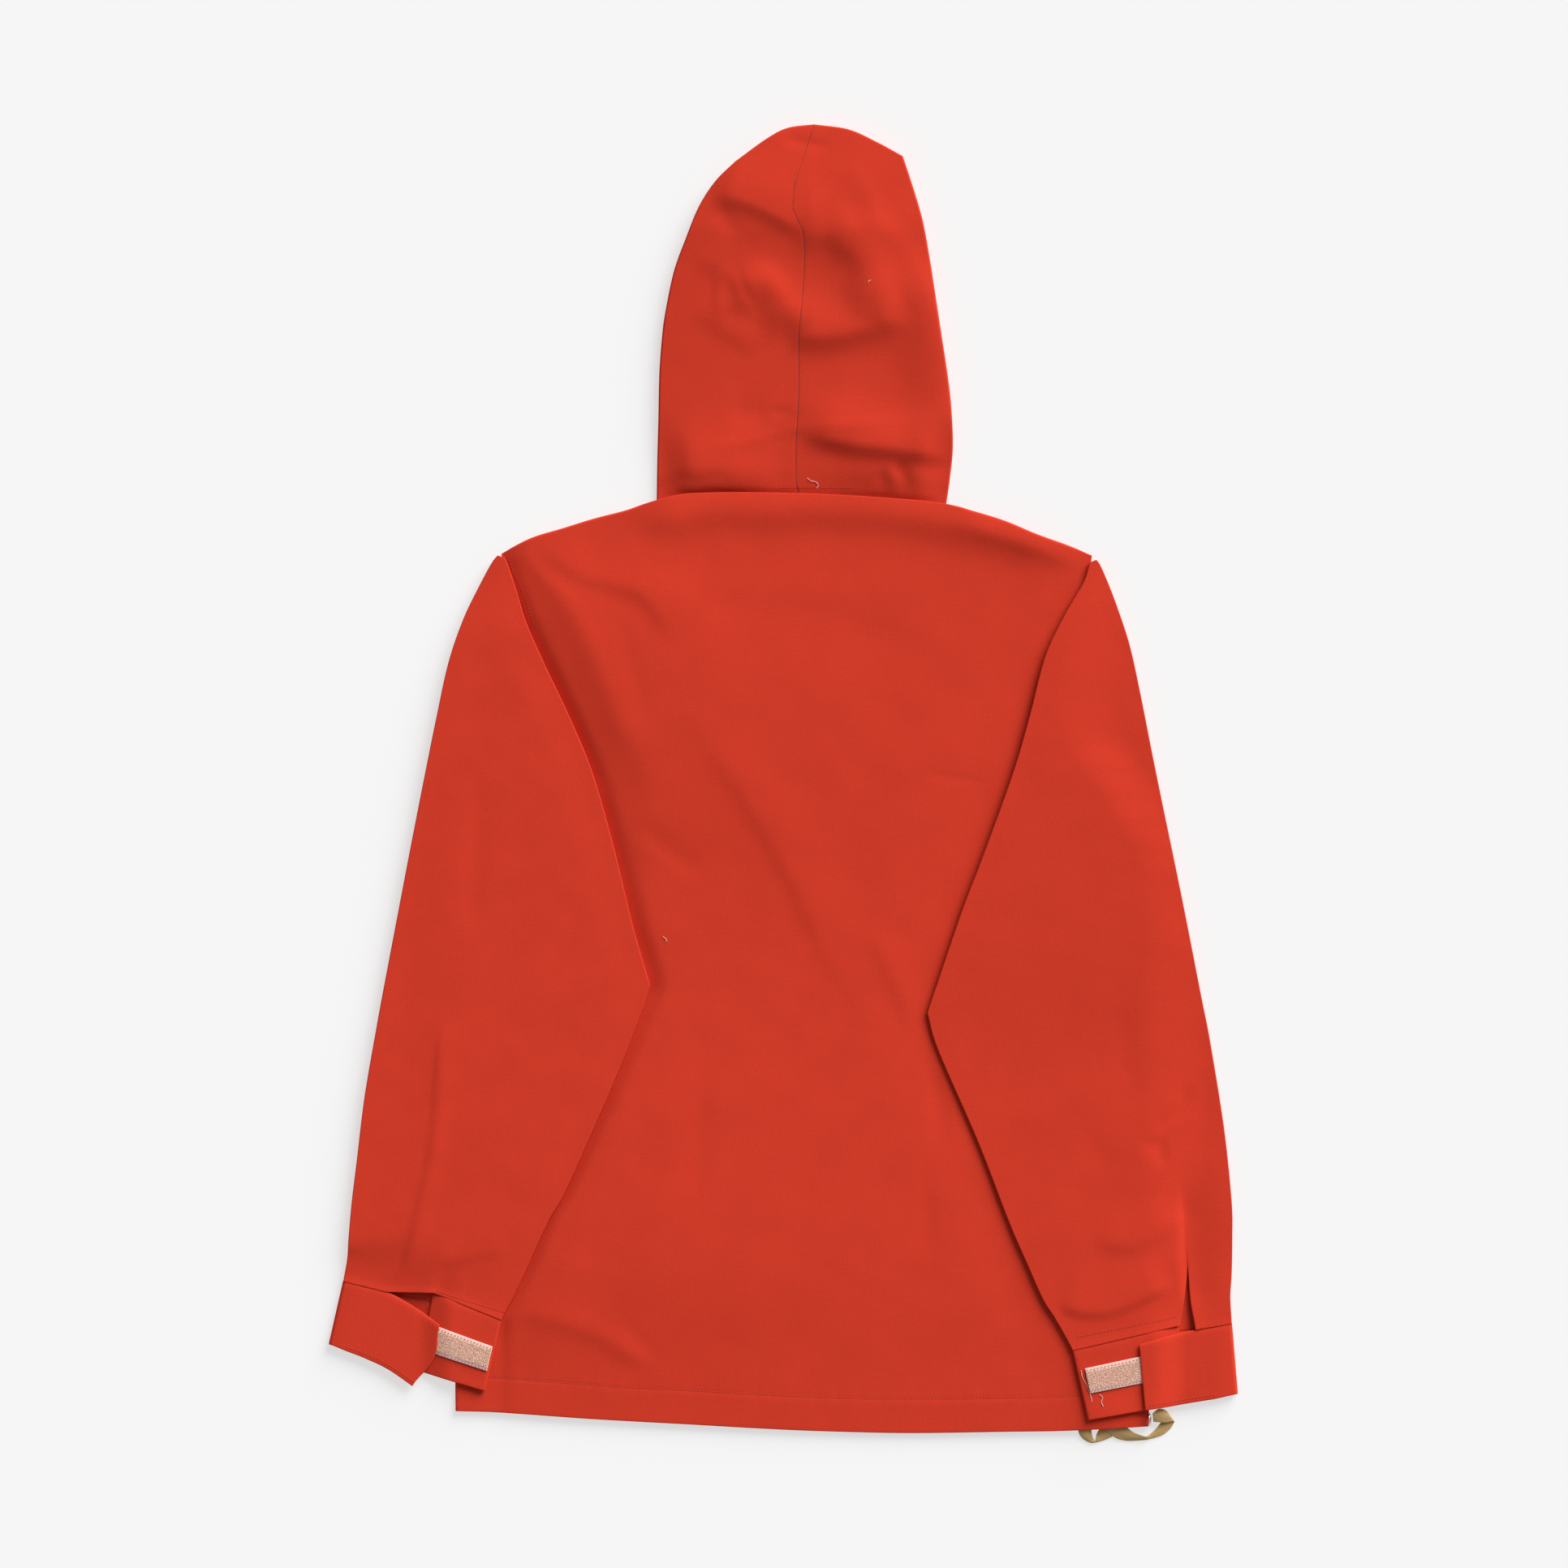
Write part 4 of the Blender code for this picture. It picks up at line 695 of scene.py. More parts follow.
class Signal:
    """A value socket of a node tree, on which Python's operators add Math nodes."""

    def __init__(self, tree, socket):
        self.tree = tree
        self.socket = socket

    def maths(self, operation, first, second=None):
        """The result of a Math node on one or two signals or numbers."""
        node = self.tree.nodes.new("ShaderNodeMath")
        node.operation = operation
        feed(self.tree, node.inputs[0], first)
        feed(self.tree, node.inputs[1], second)
        return Signal(self.tree, node.outputs[0])

    def __add__(self, other):
        return self.maths("ADD", self, other)

    def __sub__(self, other):
        return self.maths("SUBTRACT", self, other)

    def __mul__(self, other):
        return self.maths("MULTIPLY", self, other)

    def sine(self):
        """Its sine."""
        return self.maths("SINE", self)

    def size(self):
        """Its absolute value."""
        return self.maths("ABSOLUTE", self)


class Finish:
    """A material that is built node by node round one Principled shader."""

    def __init__(self, name, roughness, metallic=0.0, sheen=0.0, specular=0.5):
        self.material = bpy.data.materials.new(name)
        self.material.use_nodes = True
        self.tree = self.material.node_tree
        self.shader = self.tree.nodes["Principled BSDF"]
        self.shader.inputs["Roughness"].default_value = roughness
        self.shader.inputs["Metallic"].default_value = metallic
        self.shader.inputs["Sheen Weight"].default_value = sheen
        self.shader.inputs["Specular IOR Level"].default_value = specular

    def node(self, kind, settings=None, **values):
        """A node of a kind, with its settings and then the values or links of its sockets."""
        node = self.tree.nodes.new(kind)
        for name, value in (settings or {}).items():
            setattr(node, name, value)
        for name, value in values.items():
            feed(self.tree, node.inputs[name.replace("_", " ")], value)
        return node

    def out(self, node, name=0):
        """One output of a node as a signal."""
        return Signal(self.tree, node.outputs[name])

    def object_place(self):
        """Place on the piece, in metres."""
        return self.out(self.node("ShaderNodeTexCoord"), "Object")

    def cloth_axes(self):
        """Distances in mm across and along the cloth, from the piece's own map."""
        split = self.node("ShaderNodeSeparateXYZ")
        cloth_map = self.node("ShaderNodeUVMap", {"uv_map": "cloth"})
        self.tree.links.new(cloth_map.outputs[0], split.inputs[0])
        return self.out(split, 0) * (1 / MM), self.out(split, 1) * (1 / MM)

    def place(self, x, y):
        """A vector signal of two values."""
        return self.out(self.node("ShaderNodeCombineXYZ", X=x, Y=y))

    def noise(self, vector, scale, detail=2.0):
        """Noise from 0 to 1 at a vector."""
        return self.out(self.node("ShaderNodeTexNoise", Vector=vector, Scale=scale, Detail=detail))

    def tint(self, tone, colour, dark, light):
        """Feed the base colour: from a darker to a lighter shade of a colour by a tone."""
        node = self.node("ShaderNodeMix", {"data_type": "RGBA"})
        feed(self.tree, node.inputs[0], tone)
        feed(self.tree, node.inputs[6], shade(colour, dark))
        feed(self.tree, node.inputs[7], shade(colour, light))
        self.tree.links.new(node.outputs[2], self.shader.inputs["Base Color"])

    def bump(self, height, distance):
        """Feed the normal from a height, in mm at 1."""
        node = self.node("ShaderNodeBump", Height=height, Distance=distance * MM, Strength=1.0)
        self.tree.links.new(node.outputs[0], self.shader.inputs["Normal"])


def shade(colour, factor):
    """A colour made darker or lighter by a factor."""
    return (*[min(1.0, part * factor) for part in colour[:3]], 1.0)


def cotton_weave(colour):
    """Plain-weave cotton: two sets of threads, slubs along both, and faint uneven dye."""
    finish = Finish("cotton_weave", roughness=0.9, specular=0.05)
    across, along = finish.cloth_axes()
    thread = pi / THREAD_SPACING
    weave = (across * thread).sine() * (along * thread).sine()
    warp = finish.noise(finish.place(across * SLUB_WIDTH, along * SLUB_LENGTH), 1.0)
    weft = finish.noise(finish.place(across * SLUB_LENGTH, along * SLUB_WIDTH), 1.0)
    dye = finish.noise(finish.place(across * DYE_PATCH, along * DYE_PATCH), 1.0, 4.0)
    fuzz = finish.noise(finish.place(across, along), 0.9, 3.0)
    tone = warp * 0.28 + weft * 0.28 + dye * 0.3 + fuzz * 0.9 + weave * 0.05 - 0.3
    finish.tint(tone, colour, dark=0.79, light=1.18)
    finish.bump(weave * 0.5 + warp * 0.9 + weft * 0.9 + fuzz * 0.8, 0.035)
    return finish.material


def twisted(name, colour):
    """Two plies twisted round each other."""
    finish = Finish(name, roughness=0.6, sheen=0.1)
    twist = finish.out(finish.node("ShaderNodeTexWave", {"bands_direction": "DIAGONAL"},
                                   Vector=finish.object_place(), Scale=900.0, Distortion=1.0))
    finish.tint(twist, colour, dark=0.72, light=1.12)
    finish.bump(twist, 0.03)
    return finish.material


def twisted_thread(colour):
    """Sewing thread."""
    return twisted("twisted_thread", colour)


def loose_yarn(colour):
    """Pale yarn that has worked loose."""
    return twisted("loose_yarn", colour)


def seam_thread(colour):
    """A painted shadow: a dark twisted line along a seam's crease, dark because light hardly reaches
    it.
    """
    return twisted("seam_thread", colour)


def loop_pile(colour):
    """Loop tape: speckled nylon pile."""
    finish = Finish("loop_pile", roughness=0.92, sheen=0.2)
    place = finish.object_place()
    speck = finish.noise(place, 1500.0, 3.0)
    patch = finish.noise(place, 240.0)
    finish.tint(speck * 0.9 + patch * 0.35 - 0.15, colour, dark=0.96, light=1.14)
    finish.bump(speck, 0.12)
    return finish.material


def woven_edge(colour):
    """The pale ribbed edge that is woven along a tape."""
    finish = Finish("woven_edge", roughness=0.7, sheen=0.1)
    across, _ = finish.cloth_axes()
    rib = (across * (2 * pi / SELVEDGE_RIB)).sine() * 0.5 + 0.5
    finish.tint(rib, colour, dark=0.88, light=1.06)
    finish.bump(rib, 0.05)
    return finish.material


def cord_weave(colour):
    """Flat cotton tape: a close herringbone, darker where it is handled."""
    finish = Finish("cord_weave", roughness=0.85, sheen=0.15)
    across, along = finish.cloth_axes()
    lean = (across - CORD_WIDTH / 2).size()
    rib = ((along + lean) * (2 * pi / CORD_RIB)).sine() * 0.5 + 0.5
    wear = finish.noise(finish.place(across * 0.15, along * 0.12), 1.0, 3.0)
    finish.tint(rib * 0.3 + wear * 0.7, colour, dark=0.72, light=1.18)
    finish.bump(rib, 0.06)
    return finish.material


def bright_plating(colour):
    """Rolled brass with bright plating, dulled by fine scratches."""
    finish = Finish("bright_plating", roughness=0.25, metallic=1.0)
    scratch = finish.noise(finish.object_place(), 2500.0, 4.0)
    finish.tint(scratch, colour, dark=0.8, light=1.1)
    feed(finish.tree, finish.shader.inputs["Roughness"], scratch * 0.25 + 0.15)
    return finish.material


def floor_paper(colour):
    """Matt seamless paper with the faintest grain."""
    finish = Finish("floor_paper", roughness=0.95)
    finish.shader.inputs["Emission Color"].default_value = colour
    finish.shader.inputs["Emission Strength"].default_value = FLOOR_GLOW
    finish.tint(finish.noise(finish.object_place(), 300.0), colour, dark=0.995, light=1.005)
    return finish.material


# ---------------------------------------------------------------- meshes

def new_object(name, data):
    """An object of the scene that holds a mesh, a curve, a lamp or a camera."""
    made = bpy.data.objects.new(name, data)
    bpy.context.scene.collection.objects.link(made)
    return made


def plain_mesh(piece):
    """Turn an object with modifiers or bevels into one with a plain mesh, in place."""
    graph = bpy.context.evaluated_depsgraph_get()
    mesh = bpy.data.meshes.new_from_object(piece.evaluated_get(graph))
    name = piece.name
    bpy.data.objects.remove(piece)
    made = new_object(name, mesh)
    mesh.name = name
    return made


def add_cloth(name, points, cloth_map, wall, split=None):
    """A closed shell, wall thick, about a grid of points in mm, with rounded open edges.

    cloth_map holds each point's distances in mm across and along the cloth. No faces are made
    between the columns split and split + 1, so the cloth is open where those points part. At its
    edges the shell thins to a share of its wall.
    """
    rows, columns = points.shape[:2]
    index = np.arange(rows * columns).reshape(rows, columns)
    corners = np.stack([index[:-1, :-1], index[:-1, 1:], index[1:, 1:], index[1:, :-1]], axis=-1)
    if split is not None:
        corners = np.delete(corners, split, axis=1)
    faces = corners.reshape(-1, 4)
    mesh = bpy.data.meshes.new(name)
    mesh.from_pydata((points.reshape(-1, 3) * MM).tolist(), [], faces.tolist())
    layer = mesh.uv_layers.new(name="cloth")
    layer.data.foreach_set("uv", (cloth_map.reshape(-1, 2) * MM)[faces.ravel()].ravel())
    shell = bmesh.new()
    shell.from_mesh(mesh)
    bmesh.ops.remove_doubles(shell, verts=shell.verts, dist=MERGE_DISTANCE)
    shell.verts.index_update()
    edge = [vertex for vertex in shell.verts if vertex.is_boundary]
    near_edge = KDTree(len(edge))
    for number, vertex in enumerate(edge):
        near_edge.insert(vertex.co, number)
    near_edge.balance()
    round_over = EDGE_STOPS[-1] * MM
    weights = []
    for vertex in shell.verts:
        inside = min(near_edge.find(vertex.co)[2] / round_over, 1.0)
        weights.append(mix(EDGE_SHARE, 1.0, (1.0 - (1.0 - inside)**2)**0.5))
    shell.to_mesh(mesh)
    shell.free()
    piece = new_object(name, mesh)
    group = piece.vertex_groups.new(name="thickness")
    for number, weight in enumerate(weights):
        group.add([number], weight, "REPLACE")
    solidify = piece.modifiers.new("wall", "SOLIDIFY")
    solidify.thickness = wall * MM
    solidify.offset = 0.0
    solidify.vertex_group = group.name
    piece = plain_mesh(piece)
    piece.data.shade_smooth()
    return piece


def hand_over(piece, material, slot, *nodes):
    """Give a finished piece its material, the nodes it stands for and its body. The slot is not used.
    """
    piece.data.materials.clear()
    piece.data.materials.append(material)
    if nodes:
        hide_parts(*nodes)
    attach(piece, BODY)
    return piece


def stacked(*columns):
    """Arrays of one shape as the columns of one array."""
    return np.stack(np.broadcast_arrays(*columns), axis=-1)


# ---------------------------------------------------------------- body

def body_grid(columns, rows, top_of):
    """x, y, left edge and right edge at shares across the panel and up from the hem."""
    across, up = np.meshgrid(columns, rows)
    left = side_x(mix(HEM[0][1], SHOULDERS[0][1], up), -1)
    right = side_x(mix(HEM[-1][1], SHOULDERS[-1][1], up), 1)
    low = hem_y(mix(HEM[0][0], HEM[-1][0], across))
    return mix(left, right, across), mix(low, top_of(across), up), left, right


def back_top(across):
    """Upper edge of the back panel at a share across it."""
    return shoulder_y(mix(SHOULDERS[0][0], SHOULDERS[-1][0], across))


def neckline_y(x):
    """Front neckline: a half ellipse hung between the two ends of the neck."""
    half = (NECK_RIGHT_X - NECK_LEFT_X) / 2
    middle = (NECK_RIGHT_X + NECK_LEFT_X) / 2
    share = np.minimum(np.abs(x - middle) / half, 1.0)
    return NECK_LINE_Y - NECK_SCOOP * np.sqrt(1.0 - share**2)


def front_top(across):
    """Upper edge of the front panel at a share across it."""
    x = mix(SHOULDERS[0][0], SHOULDERS[-1][0], across)
    in_neck = (x > NECK_LEFT_X) & (x < NECK_RIGHT_X)
    return np.where(in_neck, neckline_y(x), shoulder_y(x))


def body_size():
    """Width and height of the grids of the two body panels."""
    return HEM[-1][0] - HEM[0][0], SHOULDERS[0][1] - HEM[0][1]


def back_points():
    """The back panel on the front panel, its side and shoulder edges rolled down to it."""
    width, height = body_size()
    columns = stop_shares(width, CELL, sewn=(EDGE_ROWS, width - EDGE_ROWS))
    rows = stop_shares(height, CELL, sewn=(HEM_DEPTH, height - EDGE_ROWS))
    x, y, left, right = body_grid(columns, rows, back_top)
    high = back_top(np.meshgrid(columns, rows)[0])
    full = back_height(x, y)
    side_open = ease(*UNDERARM_FADE, y - UNDERARM_Y)
    side_roll = mix(quarter_roll(np.minimum(x - left, right - x), SIDE_ROLL), 1.0, side_open)
    over_hood = ease(*HOOD_FADE, NECK_LEFT_X - x) * ease(*HOOD_FADE, x - NECK_RIGHT_X)
    at_armhole = ease(*ARMHOLE_FADE, x - SHOULDERS[0][0])
    at_armhole = at_armhole + ease(*ARMHOLE_FADE, SHOULDERS[-1][0] - x)
    top_open = np.clip(np.maximum(over_hood, at_armhole), 0.0, 1.0)
    top_roll = mix(quarter_roll(high - y, SHOULDER_ROLL), 1.0, top_open)
    z = mix(LAP_LEVEL, full, np.minimum(side_roll, top_roll))
    above_hem = y - hem_y(x)
    doubled = ease(*HEM_STEP, above_hem) * HEM_PROUD
    z = z + doubled - HEM_GROOVE * bell(above_hem - HEM_DEPTH, HEM_GROOVE_WIDTH)
    short, long = PUCKER_WAVES
    pucker = PUCKER * np.sin(x * 2 * pi / short) * np.sin(x * 2 * pi / long + 1.0)
    z = z + pucker * bell(above_hem - HEM_DEPTH, PUCKER_WIDTH)
    return stacked(x, y, z), stacked(x, y)


def front_points():
    """The front panel, flat on the floor, its neckline scooped."""
    width, height = body_size()
    shoulders = SHOULDERS[-1][0] - SHOULDERS[0][0]
    neck = [(edge + side - SHOULDERS[0][0]) / shoulders * width
            for edge in (NECK_LEFT_X, NECK_RIGHT_X) for side in (-NECK_STEP, NECK_STEP)]
    columns = np.unique(np.concatenate([stops(width, COARSE_CELL), neck])) / width
    rows = stop_shares(height, COARSE_CELL, sewn=(HEM_DEPTH,))
    x, y, _, _ = body_grid(columns, rows, front_top)
    return stacked(x, y, FLOOR_LEVEL), stacked(x, y)


# ---------------------------------------------------------------- sleeves

def lower_on_body(x, y):
    """Height of a sleeve's lower layer where it lies on the back panel."""
    return back_height(x, y) + PITCH + REST_GAP


def lower_closed(x, y, sign):
    """Height of the lower layer below the underarm: from the floor up on to the body."""
    past_side = (side_x(np.minimum(y, UNDERARM_Y), sign) - x) * sign
    climb = ease(-LOWER_RAMP - LOWER_OUTSET, -LOWER_OUTSET, past_side)
    return mix(FLOOR_LEVEL, lower_on_body(x, y), climb)


def lower_outside(x, y, sign):
    """Height of the lower layer outside the armhole: on the floor, lapped on the front."""
    outside = (x - side_x(y, sign)) * sign
    return mix(FLOOR_LEVEL, LAP_LEVEL, ease(*LAP_RAMP, outside))


def upper_base(x, y, sign, lift):
    """Height that a sleeve's upper layer drapes over, climbing slowly on to the body."""
    side = sum(side_x(y + step, sign) for step in DRAPE_STEPS) / len(DRAPE_STEPS)
    climb = ease(UPPER_INSET - UPPER_RAMP, UPPER_INSET, (side - x) * sign)
    return mix(FLOOR_LEVEL + lift, lower_on_body(x, y), climb)


Rings = namedtuple("Rings", "outer length direction above crossing crossing_y")


def rings_at(table, keys, cuff):
    """The rings of a sleeve at keys of its table, over straight lines from fold to fold."""
    ends = smooth(numbered(table), keys, (SLEEVE_CORNER,))
    outer = ends[..., :2]
    inner = ends[..., 2:]
    length = np.linalg.norm(inner - outer, axis=-1)
    direction = (inner - outer) / length[..., None]
    low = np.zeros_like(length)
    high = length.copy()
    for _ in range(HALVINGS):
        middle = (low + high) / 2
        point = outer + direction * middle[..., None]
        outside = (point[..., 0] - side_x(point[..., 1], cuff.side_sign)) * cuff.side_sign > 0
        low = np.where(outside, middle, low)
        high = np.where(outside, high, middle)
    seam_middle = (np.array(cuff.seam_outer) + np.array(cuff.seam_inner)) / 2
    above = np.linalg.norm((outer + inner) / 2 - seam_middle, axis=-1)
    crossing_y = (outer + direction * low[..., None])[..., 1]
    return Rings(outer, length, direction, above, low, crossing_y)


def sleeve_keys(table, cuff):
    """Keys of the rows of a sleeve's grid, and which rows are open along the armhole."""
    fine = np.linspace(0, len(table) - 1, SLEEVE_SAMPLES)
    ends = smooth(numbered(table), fine, (SLEEVE_CORNER,))
    keys = even_keys((ends[:, :2] + ends[:, 2:]) / 2, fine, SLEEVE_CORNER)
    is_open = rings_at(table, keys, cuff).crossing_y > UNDERARM_Y - UNDERARM_DROP
    return keys, is_open


def sleeve_stretches(widest, vent_x):
    """Shares of the way along the six stretches of a sleeve's rings, at their columns.

    They are the lower layer to the inner fold, that fold, the upper layer to the vent and on to
    the outer fold, that fold, and the lower layer from it.
    """
    return (
        stop_shares(SLEEVE_UNDER, COARSE_CELL, end=False),
        FOLD_SHARES[1:],
        stop_shares(vent_x, CELL)[1:],
        stop_shares(widest - vent_x, CELL),
        FOLD_SHARES[1:],
        stop_shares(SLEEVE_LAP, COARSE_CELL, start=False)[1:],
    )


def sleeve_points(table, cuff, seed):
    """A sleeve: a tube open at the cuff and, above the underarm, along the armhole."""
    sign = cuff.side_sign
    keys, is_open = sleeve_keys(table, cuff)
    ring = rings_at(table, keys, cuff)
    cuff_to_tip = ring.above[-1]
    widest = ring.length.max()
    stretches = sleeve_stretches(widest, widest * cuff.vent_share)
    split = sum(len(stretch) for stretch in stretches[:3]) - 1
    column_of = np.repeat(np.arange(6), [len(stretch) for stretch in stretches])
    in_stretch = [column_of[None, :] == number for number in range(6)]
    step = np.concatenate(stretches)[None, :]
    past_vent = (column_of >= 3)[None, :]
    opened = is_open[:, None]
    length = ring.length[:, None]
    above = ring.above[:, None]

    def ends(along):
        return (ring.outer[:, 0:1] + ring.direction[:, 0:1] * along,
                ring.outer[:, 1:2] + ring.direction[:, 1:2] * along)

    def loft(along, past):
        at_cuff = np.where(past, TAB_LOFT, UNDERLAP_LOFT)
        if not cuff.vent_gap:
            on_underlap = ease(cuff.underlap_end - UNDERLAP_EDGE,
                               cuff.underlap_end + UNDERLAP_EDGE, along / length)
            at_cuff = mix(TAB_LOFT, UNDERLAP_LOFT, on_underlap)
        near_tip = ease(cuff_to_tip - TIP_RAMP, cuff_to_tip, above)
        plump = smooth(SLEEVE_PLUMP, ends(along)[1])[..., 0 if sign < 0 else 1]
        if sign < 0:
            plump = plump * mix(TAPERED, 1.0, ease(0, FOLD_TAPER, length - along))
        full = mix(plump, TIP_LOFT, near_tip)
        return mix(at_cuff, full, ease(0, VENT_LENGTH, above))

    def heights(along, past, is_outside):
        x, y = ends(along)
        lower_open = np.where(is_outside, lower_outside(x, y, sign), lower_on_body(x, y))
        lower = np.where(opened, lower_open, lower_closed(x, y, sign))
        lift = OUTER_LIFT[sign] * ease(0, VENT_LENGTH, above)
        return lower, upper_base(x, y, sign, lift) + loft(along, past)

    lower_inner, upper_inner = heights(length, False, False)
    lower_outer, upper_outer = heights(0.0 * length, True, True)
    inner_radius = np.minimum((upper_inner - lower_inner) / 2, FOLD_REACH)
    outer_radius = np.minimum((upper_outer - lower_outer) / 2, FOLD_REACH)
    inner_stop = length - inner_radius
    outer_stop = outer_radius
    lapped = ease(0, ARMHOLE_LAP_RAMP, ring.crossing_y - UNDERARM_Y)[:, None]
    lap = np.where(column_of[None, :] < 4, SEAM_LAP, mix(-SEAM_LAP, SEAM_LAP, lapped))
    crossing = ring.crossing[:, None]
    seam = np.where(opened, crossing + lap, crossing - SEAM_OUTSET)
    seam = np.clip(seam, outer_stop + SEAM_MARGIN, inner_stop - SEAM_MARGIN)
    vent = mix(inner_stop, outer_stop, cuff.vent_share)
    gape = cuff.vent_gap * np.maximum(0.0, 1 - above / VENT_LENGTH)**2
    turn = pi * step
    along = np.select(in_stretch, [
        mix(seam, inner_stop, step),
        inner_stop + inner_radius * np.sin(turn),
        mix(inner_stop, vent + gape, step),
        mix(vent, outer_stop, step),
        outer_stop - outer_radius * np.sin(turn),
        mix(outer_stop, seam, step),
    ])
    nil = 0.0 * along
    share = np.select(in_stretch, [
        nil, (1 - np.cos(turn)) / 2 + nil, 1.0 + nil, 1.0 + nil, (1 + np.cos(turn)) / 2 + nil, nil,
    ])
    x, y = ends(along)
    lower, upper = heights(along, past_vent, (column_of >= 4)[None, :])
    lower = np.where(column_of == 1, lower_inner, np.where(column_of == 4, lower_outer, lower))
    upper = np.where(column_of == 1, upper_inner, np.where(column_of == 4, upper_outer, upper))
    z = mix(lower, upper, share)
    folds = crease_height(SLEEVE_CREASES, x, y) + unevenness(x, y, seed)
    folds = folds * share * ease(0, EDGE_FADE, np.minimum(along, length - along))
    z = z + folds * mix(CUFF_END_SHARE, 1.0, ease(0, EDGE_FADE, above))
    rise = cuff.vent_rise * ((1 - along / length) / cuff.vent_share)
    if cuff.vent_gap:
        rise = np.where(past_vent, 0.0, rise)
    else:
        rise = np.minimum(rise, np.maximum(0.0, along / length - FLAP_START) * FLAP_RISE)
    y = y + np.where(share == 1.0, rise * (1 - ease(0, VENT_LENGTH, above)), 0.0)
    # the end is sewn over the cuff
    at_seam = share * bell(above, SEAM_STAND_WIDTH)
    y = y - SEAM_OVERLAP * at_seam
    z = z + SEAM_STAND * at_seam
    return stacked(x, y, z), stacked(along * (2 * share - 1), above), split if cuff.vent_gap else None


# ---------------------------------------------------------------- cuffs

def between(start, end, share):
    """x and y on the line from start to end."""
    return mix(start[0], end[0], share), mix(start[1], end[1], share)


def cuff_point(cuff, along, down, loft, rise=0.0):
    """Point of a cuff layer: along from the outer to the inner fold, down from the seam."""
    top = between(cuff.seam_outer, cuff.seam_inner, along)
    low = between(cuff.low_outer, cuff.low_inner, along)
    x, y = between(top, low, down)
    y = y + rise * (1 - down)
    return x, y, lower_closed(x, y, cuff.side_sign) + loft


def underlap_point(cuff, along, down, above=0.0):
    """Point of a cuff's underlap, above it where asked."""
    rise = cuff.vent_rise * (1 - along) / cuff.vent_share
    return cuff_point(cuff, along, down, UNDERLAP_LOFT + above, rise)


def underlap_station(cuff, station):
    """Share of the cuff's length at a station of the underlap, from the inner fold."""
    start = 1 - UNDERLAP_LOFT / 2 / CUFF_LENGTH
    return mix(start, cuff.underlap_end, station / UNDERLAP_CELLS)


def tab_point(cuff, key, down, above=0.0):
    """Point of a cuff's free tab: key from its free end to the outer fold."""
    corners = smooth(numbered(cuff.tab), key)
    x, y = between((corners[..., 0], corners[..., 1]), (corners[..., 2], corners[..., 3]), down)
    x = x + cuff.tab_bulge * ease(0.0, 0.5, down) * ease(1.0, 0.6, down) * ease(1.0, 0.0, key)
    return x, y, lower_closed(x, y, cuff.side_sign) + TAB_LOFT + above


def cuff_points(cuff):
    """A cuff band: free tab, outer fold, lower layer, inner fold, underlap under the tab."""
    downs = stop_shares(CUFF_DEPTH, CUFF_CELL)
    inwards = Vector(cuff.seam_inner) - Vector(cuff.seam_outer)
    inwards.normalize()
    parts = []

    def fold(along, down, turn, loft, outwards):
        x, y, low = cuff_point(cuff, along, down, 0.0)
        shift = loft / 2 * (1 - np.sin(turn)) * (1 if outwards else -1)
        return x + inwards.x * shift, y + inwards.y * shift, low + loft * (1 + np.cos(turn)) / 2

    def add(shares, place):
        share, down = np.meshgrid(shares, downs)
        parts.append(stacked(*place(share, down)))

    last = len(cuff.tab) - 1
    add(stop_shares(TAB_LENGTH, CUFF_CELL, end=False),
        lambda share, down: tab_point(cuff, share * last, down))
    add(FOLD_SHARES, lambda share, down: fold(0.0, down, pi * share, TAB_LOFT, True))
    add(np.linspace(0, 1, CUFF_UNDER_COLUMNS)[1:-1], lambda share, down: cuff_point(
        cuff, mix(TAB_LOFT / 2 / CUFF_LENGTH, underlap_station(cuff, 0), share), down, 0.0))
    add(FOLD_SHARES, lambda share, down: fold(
        1.0, down, pi * (1 - share), UNDERLAP_LOFT, False))
    add(stop_shares(UNDERLAP_LENGTH, CUFF_CELL, start=False)[1:],
        lambda share, down: underlap_point(
            cuff, underlap_station(cuff, share * UNDERLAP_CELLS), down))
    points = np.concatenate(parts, axis=1)
    across = travelled(points, axis=1)
    down = downs[:, None]
    points[..., 2] += CUFF_WAVE * np.sin(across / CUFF_WAVE_LENGTH + 0.8) * np.sin(down * 2.2 + 0.4)
    # the sewn edge dips into the seam
    points[..., 2] -= CUFF_DIP * bell(down * CUFF_DEPTH, CUFF_DIP_WIDTH)
    return points, stacked(across, down * CUFF_DEPTH)


def tape_points(cuff, lift):
    """Loop tape sewn flat on a cuff's underlap."""
    first, last = cuff.tape_stations
    long = CUFF_LENGTH * abs(underlap_station(cuff, last) - underlap_station(cuff, first))
    stations = mix(first, last, stop_shares(long, TAPE_CELL))
    shares = stop_shares(TAPE_WIDTH, TAPE_CELL, sewn=TAPE_STITCHES)
    station, share = np.meshgrid(stations, shares)
    down = mix(cuff.tape_high, cuff.tape_low, share)
    x, y, z = underlap_point(cuff, underlap_station(cuff, station), down, lift)
    # the pile stands over the woven edges
    z = z + PILE_STAND * ease(*PILE_EDGE, np.minimum(share, 1 - share) * TAPE_WIDTH)
    return stacked(x, y, z), stacked(station / UNDERLAP_CELLS * TAPE_MAP_LENGTH, share * TAPE_WIDTH)


# ---------------------------------------------------------------- hood

